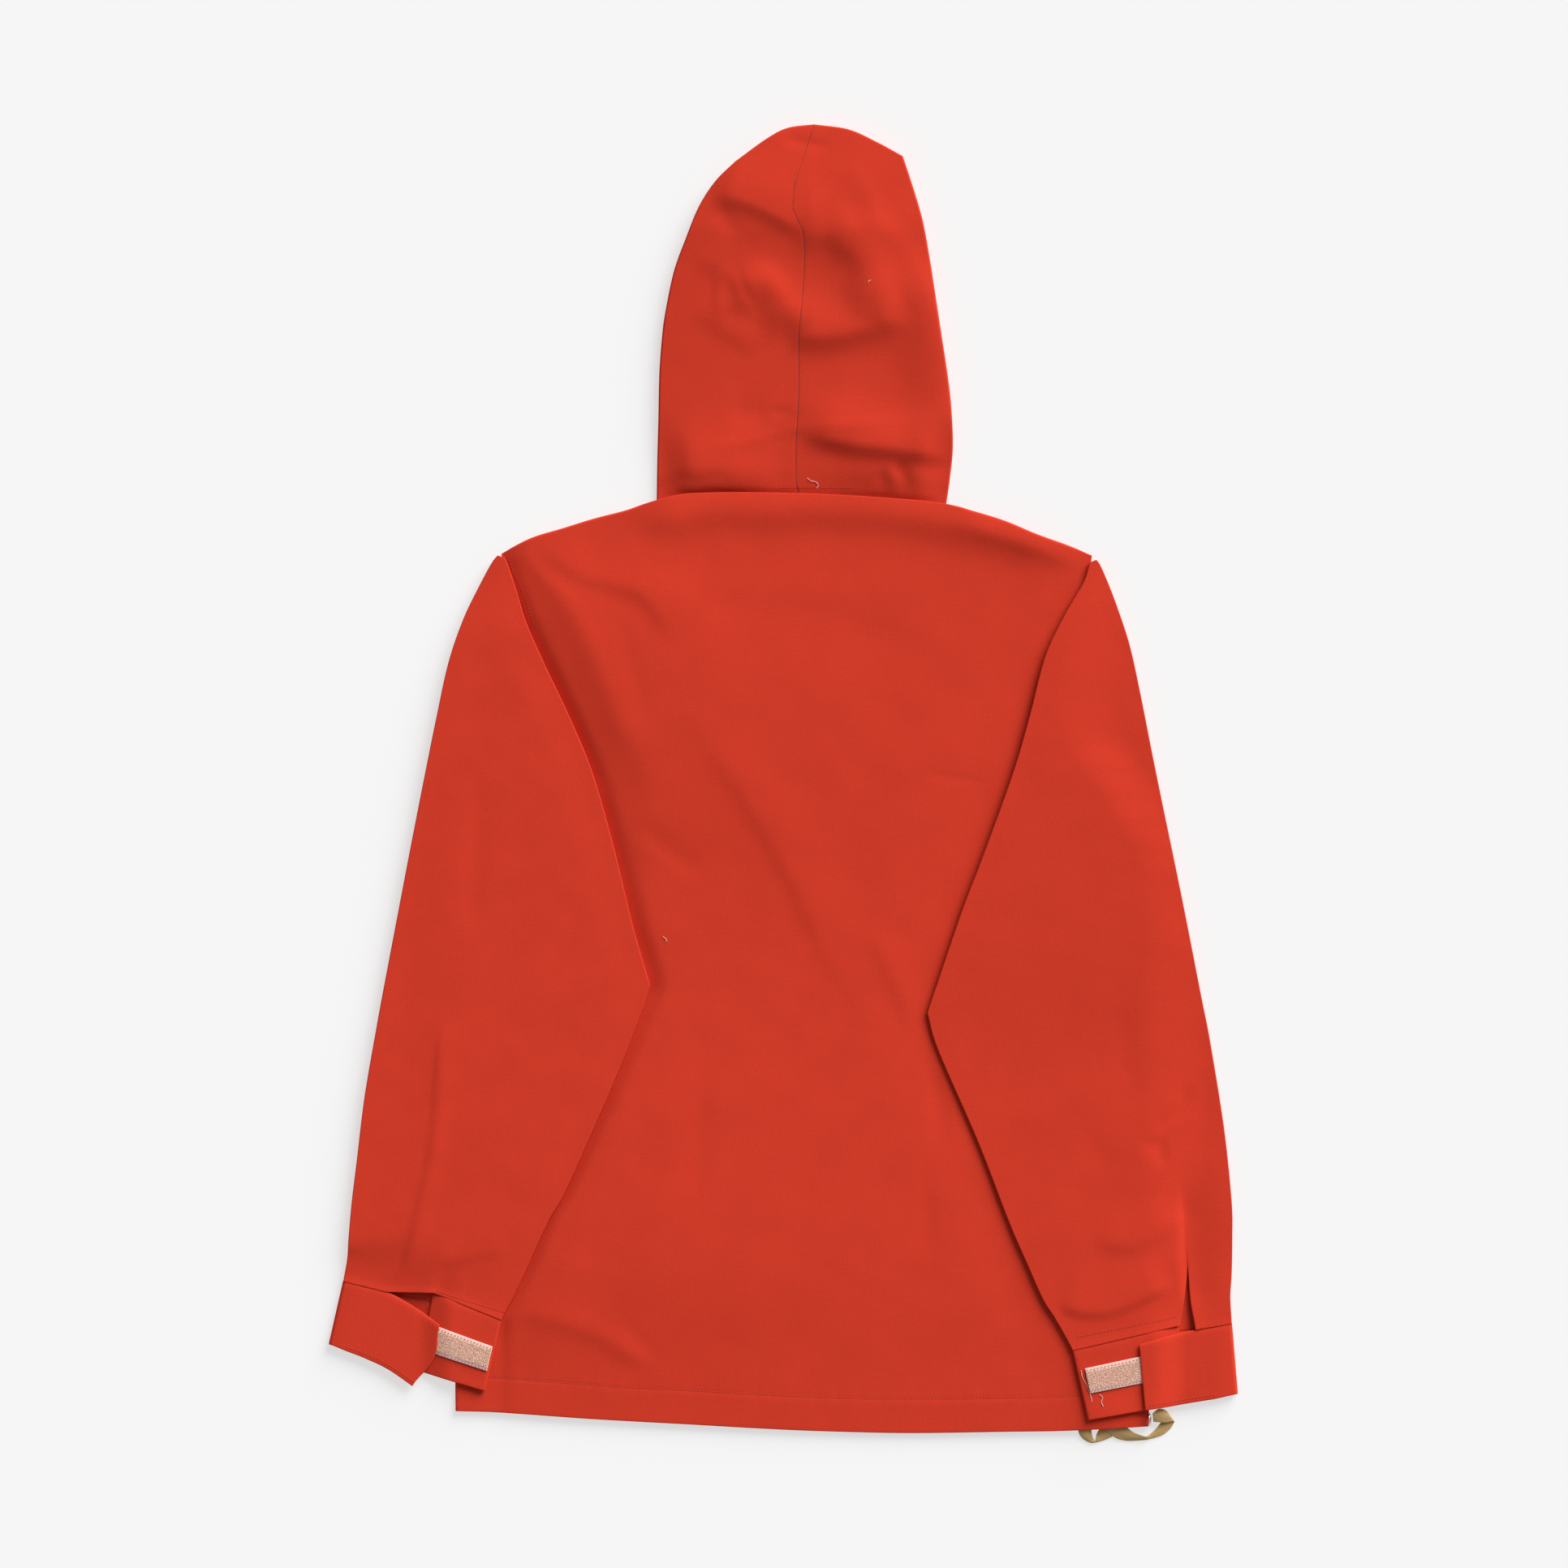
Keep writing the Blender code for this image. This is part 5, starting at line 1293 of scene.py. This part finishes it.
def hood_upper(x, y):
    """Height of the hood's upper layer, lower where the back panel covers it."""
    above_neck = y - shoulder_y(x)
    clear = ease(*COVER_RAMP, above_neck)
    folds = crease_height(HOOD_CREASES, x, y) + unevenness(x, y, HOOD_SEED)
    near = NECK_CREASE_SHARE * ease(0.0, NECK_CREASE_RAMP, above_neck)
    height = mix(HOOD_BASE_LEVEL, HOOD_LEVEL, clear) + folds * mix(near, 1.0, clear)
    sewn = ease(*NECK_SEWN, shoulder_y(x) - y)
    return mix(np.maximum(height, HOOD_FLOOR), back_height(x, y) - PITCH, sewn)


def hood_outline(keys):
    """x and y of the hood's left and right outlines at keys of its table."""
    rows = smooth(numbered(HOOD), keys, (HOOD_CORNER,))
    return rows[..., 2:4], rows[..., 4:6]


def hood_rise(x, y):
    """How far the hood stands over its outline: a dome that dives steeply to the neck."""
    outline = np.concatenate(hood_outline(np.linspace(0, len(HOOD) - 1, HOOD_OUTLINE_POINTS)))
    away = np.hypot(x[..., None] - outline[:, 0], y[..., None] - outline[:, 1]).min(axis=-1)
    inside = np.clip((away - HOOD_REACH) / HOOD_DOME_WIDTH, 0.0, 1.0)
    dome = mix(HOOD_EDGE_SHARE, 1.0, 1.0 - (1.0 - inside)**2)
    dive = smooth(NECK_DIVE, x)
    height = mix(dive[..., 0], smooth(HOOD_RISE, y)[..., 0], ease(*NECK_CLEAR, y))
    near_neck = ease(0.0, NECK_EDGE_RAMP, away - HOOD_REACH)
    beside = mix(dome, near_neck, ease(NECK_CLEAR[1], NECK_CLEAR[0], y))
    return height * beside * quarter_roll(y - shoulder_y(x), dive[..., 1])


def hood_lower(x, y):
    """Height of the hood's lower layer: on the floor, or lapped on the front panel."""
    return mix(LAP_LEVEL, FLOOR_LEVEL, ease(*UNDER_RAMP, y - shoulder_y(x)))


def hood_points(sign):
    """One half of the hood, from the centre seam round the outline to the face opening."""
    fine = np.linspace(0, len(HOOD) - 1, HOOD_SAMPLES)
    side = hood_outline(fine)[0 if sign < 0 else 1]
    keys = even_keys(side, fine, HOOD_CORNER)
    row = smooth(numbered(HOOD), keys, (HOOD_CORNER,))
    seam = row[:, 0:2]
    edge = row[:, 2:4] if sign < 0 else row[:, 4:6]
    face_x = np.where(keys > FACE_END_ROW, seam[:, 0], NECK_CENTRE_X + sign * row[:, 7])
    face = stacked(face_x, row[:, 6])
    inwards = (seam - edge) / np.linalg.norm(seam - edge, axis=1)[:, None]
    turn_point = edge + inwards * HOOD_REACH
    lower = hood_lower(*edge.T)
    upper = hood_upper(*turn_point.T) + hood_rise(*turn_point.T)

    shares = stop_shares(HOOD_HALF_WIDTH, CELL)
    top = seam[:, None] + (turn_point - seam)[:, None] * shares[None, :, None]
    top_z = hood_upper(top[..., 0], top[..., 1]) + hood_rise(top[..., 0], top[..., 1])
    turn = pi * FOLD_SHARES[None, 1:]
    bend = edge[:, None] + (inwards * HOOD_REACH)[:, None] * (1 - np.sin(turn))[..., None]
    bend_z = mix(lower[:, None], upper[:, None], (1 + np.cos(turn)) / 2)
    unders = stop_shares(HOOD_UNDER, COARSE_CELL, start=False)[1:]
    flat = turn_point[:, None] + (face - turn_point)[:, None] * unders[None, :, None]
    bend_rows = np.where(unders < 1, NECK_BEND_ROWS, FACE_BEND_ROWS)[None, :]
    bent = 1 - ease(0, bend_rows, keys[:, None])
    straight = edge[0] + (face[0] - edge[0]) * unders[:, None]
    neck_x = mix(edge[0, 0], face[0, 0], 1 - np.cos(unders * pi / 2))
    neck_y = neckline_y(neck_x) - HOOD_NECK_LAP * np.sin(unders * pi / 2)
    flat = flat + (stacked(neck_x, neck_y) - straight)[None] * bent[..., None]
    flat_z = hood_lower(flat[..., 0], flat[..., 1])
    points = np.concatenate([
        np.concatenate([place, height[..., None]], axis=2)
        for place, height in ((top, top_z), (bend, bend_z), (flat, flat_z))
    ], axis=1)
    along = np.interp(keys, fine, travelled(side))[:, None]
    return points, stacked(travelled(points, axis=1) * sign, along)


# ---------------------------------------------------------------- trims and sewing

def ribbon(edges, width):
    """Grid of points and cloth map of a flat tape between its two edges."""
    rows = along_rows(edges, RIBBON_STEPS)
    shares = stop_shares(width, RIBBON_CELL)[:, None, None]
    points = mix(rows[:, :3], rows[:, 3:], shares)
    points[..., 2] -= RIBBON_CURL * np.cos(shares[..., 0] * 2 * pi)
    points[..., 2] = np.maximum(points[..., 2], CORD_THICK / 2 + CORD_CLEARANCE)
    middle = (rows[:, :3] + rows[:, 3:]) / 2
    return points, stacked(shares[..., 0] * width, travelled(middle))


def ring_mesh(name):
    """A rolled eyelet: a flattened barrel round its hole."""
    bpy.ops.mesh.primitive_torus_add(
        major_segments=64, minor_segments=20,
        major_radius=(EYELET_RADIUS + EYELET_HOLE_RADIUS) / 2 * MM,
        minor_radius=(EYELET_RADIUS - EYELET_HOLE_RADIUS) / 2 * MM)
    piece = bpy.context.object
    piece.name = name
    turned = cos(EYELET_TILT)
    raised = sin(EYELET_TILT)
    for vertex in piece.data.vertices:
        x, y, z = vertex.co
        z *= EYELET_THICK / (EYELET_RADIUS - EYELET_HOLE_RADIUS)
        vertex.co = Vector((x * turned + z * raised, y, -x * raised + z * turned))
        vertex.co += Vector(EYELET_CENTRE) * MM
    piece.data.shade_smooth()
    return piece


def lay_on(piece_name, line, lift=THREAD_LIFT):
    """The points of a line of x, y in mm, dropped from above on a finished piece."""
    data = bpy.data.objects[piece_name].data
    tree = BVHTree.FromPolygons([vertex.co for vertex in data.vertices],
                                [tuple(face.vertices) for face in data.polygons])
    laid = []
    for x, y in line:
        hit = tree.ray_cast(Vector((x * MM, y * MM, DROP_HEIGHT)), Vector((0, 0, -1)))[0]
        if hit is not None:
            laid.append((x * MM, y * MM, hit.z + lift * MM))
    return laid


def evenly(points, step=STITCH_STEP):
    """x, y about step mm apart along a smooth line through points."""
    line = along_rows(points, EVEN_STEPS)
    done = travelled(line)
    marks = np.linspace(0, done[-1], max(2, int(done[-1] / step)))
    return [(np.interp(mark, done, line[:, 0]), np.interp(mark, done, line[:, 1]))
            for mark in marks]


def spread_tree(name, inputs, kinds, links):
    """A Geometry Nodes tree that spreads instances on points and makes them one painted mesh.

    inputs holds the name, socket type and default of each input after the geometry, kinds each
    node's name, kind, settings and input values, and links from node, output, to node, input.
    """
    tree = bpy.data.node_groups.new(name, "GeometryNodeTree")
    for label, kind, default in (("Geometry", "NodeSocketGeometry", None), *inputs):
        socket = tree.interface.new_socket(label, in_out="INPUT", socket_type=kind)
        if default is not None:
            socket.default_value = default
    tree.interface.new_socket("Geometry", in_out="OUTPUT", socket_type="NodeSocketGeometry")
    nodes = {}
    for key, kind, settings, values in (*kinds, *SPREAD_NODES):
        nodes[key] = tree.nodes.new(kind)
        for setting, value in settings.items():
            setattr(nodes[key], setting, value)
        for socket, value in values.items():
            nodes[key].inputs[socket].default_value = value
    for source, output, target, socket in (*links, *SPREAD_LINKS):
        tree.links.new(nodes[source].outputs[output], nodes[target].inputs[socket])
    return tree


def run_nodes(piece, tree, **values):
    """Run a tree on a piece with its inputs set, and keep the result as a plain mesh."""
    modifier = piece.modifiers.new("rule", "NODES")
    modifier.node_group = tree
    for item in tree.interface.items_tree:
        if item.in_out == "INPUT" and item.name.replace(" ", "_") in values:
            modifier[item.identifier] = values[item.name.replace(" ", "_")]
    return plain_mesh(piece)


def stitch_tree():
    """Stitches: one small thread lump for each pitch of every line."""
    return spread_tree("stitch_row", (
        ("Pitch", "NodeSocketFloat", 0.0026),
        ("Length", "NodeSocketFloat", 0.0019),
        ("Radius", "NodeSocketFloat", 0.00022),
        ("Material", "NodeSocketMaterial", None),
    ), (
        ("curve", "GeometryNodeMeshToCurve", {}, {}),
        ("resample", "GeometryNodeResampleCurve", {"mode": "LENGTH"}, {}),
        ("tangent", "GeometryNodeInputTangent", {}, {}),
        ("turn", "FunctionNodeAlignRotationToVector", {"axis": "X"}, {}),
        ("lump", "GeometryNodeMeshUVSphere", {}, {"Segments": 6, "Rings": 4, "Radius": 1.0}),
        ("half", "ShaderNodeMath", {"operation": "MULTIPLY"}, {1: 0.5}),
        ("size", "ShaderNodeCombineXYZ", {}, {}),
    ), (
        ("given", "Geometry", "curve", "Mesh"),
        ("curve", "Curve", "resample", "Curve"),
        ("given", "Pitch", "resample", "Length"),
        ("resample", "Curve", "spread", "Points"),
        ("tangent", 0, "turn", "Vector"),
        ("turn", "Rotation", "spread", "Rotation"),
        ("given", "Length", "half", 0),
        ("half", 0, "size", "X"),
        ("given", "Radius", "size", "Y"),
        ("given", "Radius", "size", "Z"),
        ("size", 0, "spread", "Scale"),
        ("lump", "Mesh", "spread", "Instance"),
    ))


def pile_tree():
    """Pile: small loops of yarn scattered over a surface."""
    return spread_tree("loop_pile", (
        ("Density", "NodeSocketFloat", 900000.0),
        ("Loop Radius", "NodeSocketFloat", 0.0005),
        ("Yarn Radius", "NodeSocketFloat", 0.00009),
        ("Seed", "NodeSocketInt", 5),
        ("Material", "NodeSocketMaterial", None),
    ), (
        ("scatter", "GeometryNodeDistributePointsOnFaces", {}, {}),
        ("ring", "GeometryNodeCurvePrimitiveCircle", {}, {"Resolution": 6}),
        ("yarn", "GeometryNodeCurvePrimitiveCircle", {}, {"Resolution": 3}),
        ("sweep", "GeometryNodeCurveToMesh", {}, {}),
        ("turn", "FunctionNodeRandomValue", {"data_type": "FLOAT_VECTOR"},
         {0: (pi / 2 - 0.5, -0.4, 0.0), 1: (pi / 2 + 0.5, 0.4, 2 * pi)}),
    ), (
        ("given", "Geometry", "scatter", "Mesh"),
        ("given", "Density", "scatter", "Density"),
        ("given", "Seed", "scatter", "Seed"),
        ("given", "Seed", "turn", "Seed"),
        ("given", "Loop Radius", "ring", "Radius"),
        ("given", "Yarn Radius", "yarn", "Radius"),
        ("ring", "Curve", "sweep", "Curve"),
        ("yarn", "Curve", "sweep", "Profile Curve"),
        ("scatter", "Points", "spread", "Points"),
        ("sweep", "Mesh", "spread", "Instance"),
        ("turn", 0, "spread", "Rotation"),
    ))


def polyline_object(name, lines):
    """An object of loose edges along lines of points in metres."""
    vertices = [point for line in lines for point in line]
    edges = []
    start = 0
    for line in lines:
        edges += [(number, number + 1) for number in range(start, start + len(line) - 1)]
        start += len(line)
    mesh = bpy.data.meshes.new(name)
    mesh.from_pydata(vertices, edges, [])
    return new_object(name, mesh)


def thread_object(name, lines, radius):
    """Round threads of a radius in mm along smooth lines of points in metres."""
    curve = bpy.data.curves.new(name, "CURVE")
    curve.dimensions = "3D"
    curve.bevel_depth = radius * MM
    curve.bevel_resolution = 1
    curve.use_fill_caps = True
    for line in lines:
        spline = curve.splines.new("POLY")
        spline.points.add(len(line) - 1)
        for point, place in zip(spline.points, line):
            point.co = (*place, 1.0)
    return plain_mesh(new_object(name, curve))


# ---------------------------------------------------------------- settings and operators

class ClothSettings(bpy.types.PropertyGroup):
    """Sizes and colours of the cloth."""
    wall: FloatProperty(name="Cloth Thickness", description="Thickness of the shell cloth",
                        default=0.0009, min=0.0003, max=0.0012, unit="LENGTH")
    colour: FloatVectorProperty(name="Cloth Colour", description="Dye of the shell cloth",
                                subtype="COLOR", size=4, min=0, max=1,
                                default=(0.592, 0.041, 0.0195, 1.0))


class TrimSettings(bpy.types.PropertyGroup):
    """Sizes and colours of the thread, tapes and eyelet."""
    pitch: FloatProperty(name="Stitch Pitch", description="Distance from stitch to stitch",
                         default=0.0026, min=0.001, max=0.006, unit="LENGTH")
    thread: FloatVectorProperty(name="Thread Colour", description="Dye of the sewing thread",
                                subtype="COLOR", size=4, min=0, max=1,
                                default=(0.50, 0.035, 0.02, 1.0))
    pile: FloatVectorProperty(name="Loop Tape Colour", description="Dye of the loop tape",
                              subtype="COLOR", size=4, min=0, max=1,
                              default=(0.95, 0.60, 0.44, 1.0))
    selvedge: FloatVectorProperty(name="Selvedge Colour", description="Dye of the loop tape's edges",
                                  subtype="COLOR", size=4, min=0, max=1,
                                  default=(0.86, 0.60, 0.52, 1.0))
    cord: FloatVectorProperty(name="Drawcord Colour", description="Dye of the drawcord",
                              subtype="COLOR", size=4, min=0, max=1,
                              default=(0.54, 0.35, 0.14, 1.0))
    metal: FloatVectorProperty(name="Eyelet Colour", description="Plating of the eyelet",
                               subtype="COLOR", size=4, min=0, max=1,
                               default=(0.78, 0.78, 0.78, 1.0))
    seed: IntProperty(name="Pile Seed", description="Start of the pile's random draws",
                      default=5, min=0)


class StageSettings(bpy.types.PropertyGroup):
    """Floor and light."""
    floor: FloatVectorProperty(name="Floor Colour", description="Colour of the floor paper",
                               subtype="COLOR", size=4, min=0, max=1,
                               default=(0.30, 0.30, 0.30, 1.0))
    fill: FloatProperty(name="Fill Light", description="Strength of the light from all round",
                        default=0.28, min=0, max=5)
    key: FloatProperty(name="Key Light", description="Strength of the soft main light",
                       default=4.98, min=0, max=20)


def finish_of(make, colour):
    """The material that a function makes, made the first time that it is asked for."""
    return bpy.data.materials.get(make.__name__) or make(tuple(colour))


def shell_piece(scene, name, node, points, cloth_map, wall=None, split=None):
    """A piece of shell cloth on a grid of points, handed over for the node it replaces."""
    piece = add_cloth(name, points, cloth_map, wall or scene.anorak_cloth.wall / MM, split)
    cloth = finish_of(cotton_weave, scene.anorak_cloth.colour)
    return hand_over(piece, cloth, "shell_cloth", node)


class ANORAK_OT_stage(bpy.types.Operator):
    """Add the floor, the light and the camera straight above."""
    bl_idname = "anorak.stage"
    bl_label = "Stage"

    def execute(self, context):
        settings = context.scene.anorak_stage
        context.scene.view_settings.view_transform = "Standard"
        bpy.ops.mesh.primitive_plane_add(size=FLOOR_SIZE)
        floor = context.object
        floor.name = "floor"
        floor.data.transform(Matrix.Translation((0.0, 0.0, -FLOOR_DROP * MM)))
        floor.data.materials.append(floor_paper(tuple(settings.floor)))
        world = bpy.data.worlds.new("studio")
        world.use_nodes = True
        sky = world.node_tree.nodes["Background"]
        sky.inputs["Color"].default_value = (1.0, 1.0, 1.0, 1.0)
        sky.inputs["Strength"].default_value = settings.fill
        context.scene.world = world
        lamp = bpy.data.lights.new("key", "SUN")
        lamp.energy = settings.key
        lamp.angle = KEY_SPREAD
        key = new_object("key", lamp)
        key.rotation_euler = Vector(KEY_TOWARDS).to_track_quat("Z", "Y").to_euler()
        lens = bpy.data.cameras.new("camera")
        lens.lens = LENS
        lens.sensor_width = SENSOR
        camera = new_object("camera", lens)
        distance = VIEW_WIDTH / 2 / (SENSOR / 2 / LENS)
        camera.location = Vector((*VIEW_CENTRE, distance)) * MM
        context.scene.camera = camera
        return {"FINISHED"}


class ANORAK_OT_body(bpy.types.Operator):
    """Add the front and back panels."""
    bl_idname = "anorak.body"
    bl_label = "Body Panels"

    def execute(self, context):
        front = shell_piece(context.scene, "front_panel", "front", *front_points(), wall=WALL)
        back = shell_piece(context.scene, "back_panel", "back", *back_points())
        return {"FINISHED"}


class ANORAK_OT_sleeves(bpy.types.Operator):
    """Add both sleeves, with the vents above their cuffs."""
    bl_idname = "anorak.sleeves"
    bl_label = "Sleeves"

    def execute(self, context):
        for side, table, cuff, seed in (("left", LEFT_SLEEVE, LEFT_CUFF, LEFT_SLEEVE_SEED),
                                        ("right", RIGHT_SLEEVE, RIGHT_CUFF, RIGHT_SLEEVE_SEED)):
            points, cloth_map, split = sleeve_points(table, cuff, seed)
            sleeve = shell_piece(context.scene, f"{side}_sleeve", f"sleeve_{side}",
                                 points, cloth_map, split=split)
        return {"FINISHED"}


class ANORAK_OT_cuffs(bpy.types.Operator):
    """Add both cuffs, their tabs and the loop tape on their underlaps."""
    bl_idname = "anorak.cuffs"
    bl_label = "Cuffs and Loop Tape"

    def execute(self, context):
        trims = context.scene.anorak_trims
        pile_finish = finish_of(loop_pile, trims.pile)
        edge_finish = finish_of(woven_edge, trims.selvedge)
        tree = pile_tree()
        piled = slice(PILE_INSET, -PILE_INSET)
        for side, cuff in (("left", LEFT_CUFF), ("right", RIGHT_CUFF)):
            band = shell_piece(context.scene, f"{side}_cuff", f"cuff_{side}", *cuff_points(cuff),
                               wall=CUFF_WALL)
            points, cloth_map = tape_points(cuff, TAPE_LIFT)
            tape = add_cloth(f"{side}_loop_tape", points, cloth_map, TAPE_WALL)
            hand_over(tape, edge_finish, "loop_tape", f"loop_tape_{side}")
            inner = points[piled, 1:-1] + np.array((0, 0, TAPE_WALL / 2))
            bed = add_cloth(f"{side}_pile", inner, cloth_map[piled, 1:-1], PILE_BED_WALL)
            pile = run_nodes(bed, tree, Density=PILE_DENSITY, Seed=trims.seed, Material=pile_finish)
            hand_over(pile, pile_finish, "loop_tape")
        return {"FINISHED"}


class ANORAK_OT_hood(bpy.types.Operator):
    """Add the two halves of the hood."""
    bl_idname = "anorak.hood"
    bl_label = "Hood"

    def execute(self, context):
        for side, sign in (("left", -1), ("right", 1)):
            half = shell_piece(context.scene, f"{side}_hood", f"hood_{side}", *hood_points(sign))
        return {"FINISHED"}


class ANORAK_OT_drawcord(bpy.types.Operator):
    """Add the eyelet and the flat drawcord that leaves it."""
    bl_idname = "anorak.drawcord"
    bl_label = "Drawcord and Eyelet"

    def execute(self, context):
        trims = context.scene.anorak_trims
        ring = ring_mesh("eyelet_ring")
        hand_over(ring, finish_of(bright_plating, trims.metal), "eyelet_metal", "eyelet")
        cord = add_cloth("drawcord_tape", *ribbon(CORD_EDGES, CORD_WIDTH), CORD_THICK)
        hand_over(cord, finish_of(cord_weave, trims.cord), "drawcord_tape", "drawcord")
        route = along_rows(CORD_ROUTE, ROUTE_STEPS) * MM
        return {"FINISHED"}


def cuff_stitches(side, cuff):
    """Stitch lines of a cuff's tab and of the two edges of its loop tape."""
    keys = np.linspace(TAB_STITCH_START, len(cuff.tab) - 1, 50)
    x, y, _ = tab_point(cuff, keys, np.full_like(keys, TAB_STITCH_DOWN))
    lines = [lay_on(f"{side}_cuff", list(zip(x, y)))]
    first, end = cuff.tape_stations
    stations = underlap_station(cuff, np.linspace(first + TAPE_STITCH_START, end, 60))
    for edge in TAPE_STITCHES:
        down = mix(cuff.tape_high, cuff.tape_low, edge / TAPE_WIDTH)
        x, y, _ = underlap_point(cuff, stations, down)
        lines.append(lay_on(f"{side}_loop_tape", list(zip(x, y)), TAPE_STITCH_LIFT))
    return lines


class ANORAK_OT_sewing(bpy.types.Operator):
    """Add the topstitching of the hem, neck, armholes, cuffs and loop tape."""
    bl_idname = "anorak.sewing"
    bl_label = "Sewing"

    def execute(self, context):
        trims = context.scene.anorak_trims
        hem_x = np.arange(*HEM_STITCHES, STITCH_STEP)
        lines = [lay_on("back_panel", list(zip(hem_x, hem_y(hem_x) + HEM_DEPTH)))]
        lines += [lay_on(name, evenly(line)) for name, line in BODY_TOPSTITCHES]
        lines += cuff_stitches("left", LEFT_CUFF) + cuff_stitches("right", RIGHT_CUFF)
        lines += [lay_on(name, evenly(line)) for name, line in SLEEVE_TOPSTITCHES]
        piece = polyline_object("stitching", [line for line in lines if len(line) > 1])
        thread = finish_of(twisted_thread, trims.thread)
        piece = run_nodes(piece, stitch_tree(), Pitch=trims.pitch,
                          Length=trims.pitch * STITCH_SHARE, Material=thread)
        hand_over(piece, thread, "shell_cloth")
        # A dark line laid along the hood's centre seam: a painted shadow of the seam's crease
        seam = [(row[0], row[1] + (SEAM_START if row is HOOD[0] else 0)) for row in HOOD]
        seam.append(HOOD[-1][2:4])
        path = smooth(numbered(seam), np.linspace(0, len(seam) - 1, SEAM_POINTS))
        seam_line = lay_on("right_hood", [(x + SEAM_SHIFT, y) for x, y in path], -THREAD_LIFT)
        dark = finish_of(seam_thread, shade(trims.thread, SEAM_SHADOW_SHADE))
        hand_over(thread_object("hood_seam_line", [seam_line], HOOD_SEAM_SHADOW_RADIUS), dark, "shell_cloth")
        loose = [lay_on(name, evenly(line, LOOSE_STEP), LOOSE_LIFT) for name, line in LOOSE_THREADS]
        pale = finish_of(loose_yarn, trims.selvedge)
        hand_over(thread_object("loose_threads", loose, LOOSE_RADIUS), pale, "loop_tape")
        return {"FINISHED"}


class ANORAK_PT_panel(bpy.types.Panel):
    """The steps that make the garment, in order."""
    bl_idname = "ANORAK_PT_panel"
    bl_label = "Anorak Pullover"
    bl_space_type = "VIEW_3D"
    bl_region_type = "UI"
    bl_category = "Anorak"

    def draw(self, context):
        for step in STEPS:
            self.layout.operator(step.bl_idname)
        for group in (context.scene.anorak_cloth, context.scene.anorak_trims,
                      context.scene.anorak_stage):
            for name in group.__annotations__:
                self.layout.prop(group, name)


GROUPS = (
    ("anorak_cloth", ClothSettings),
    ("anorak_trims", TrimSettings),
    ("anorak_stage", StageSettings),
)
STEPS = (
    ANORAK_OT_stage,
    ANORAK_OT_body,
    ANORAK_OT_sleeves,
    ANORAK_OT_cuffs,
    ANORAK_OT_hood,
    ANORAK_OT_drawcord,
    ANORAK_OT_sewing,
)


def register():
    """Register the settings, the steps and the panel."""
    for name, group in GROUPS:
        bpy.utils.register_class(group)
        setattr(bpy.types.Scene, name, bpy.props.PointerProperty(type=group))
    for step in (*STEPS, ANORAK_PT_panel):
        bpy.utils.register_class(step)


def unregister():
    """Undo register."""
    for step in (ANORAK_PT_panel, *reversed(STEPS)):
        bpy.utils.unregister_class(step)
    for name, group in reversed(GROUPS):
        delattr(bpy.types.Scene, name)
        bpy.utils.unregister_class(group)


def main():
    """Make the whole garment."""
    register()
    bpy.ops.anorak.stage()
    bpy.ops.anorak.body()
    bpy.ops.anorak.sleeves()
    bpy.ops.anorak.cuffs()
    bpy.ops.anorak.hood()
    bpy.ops.anorak.drawcord()
    bpy.ops.anorak.sewing()


if __name__ == "__main__":
    main()
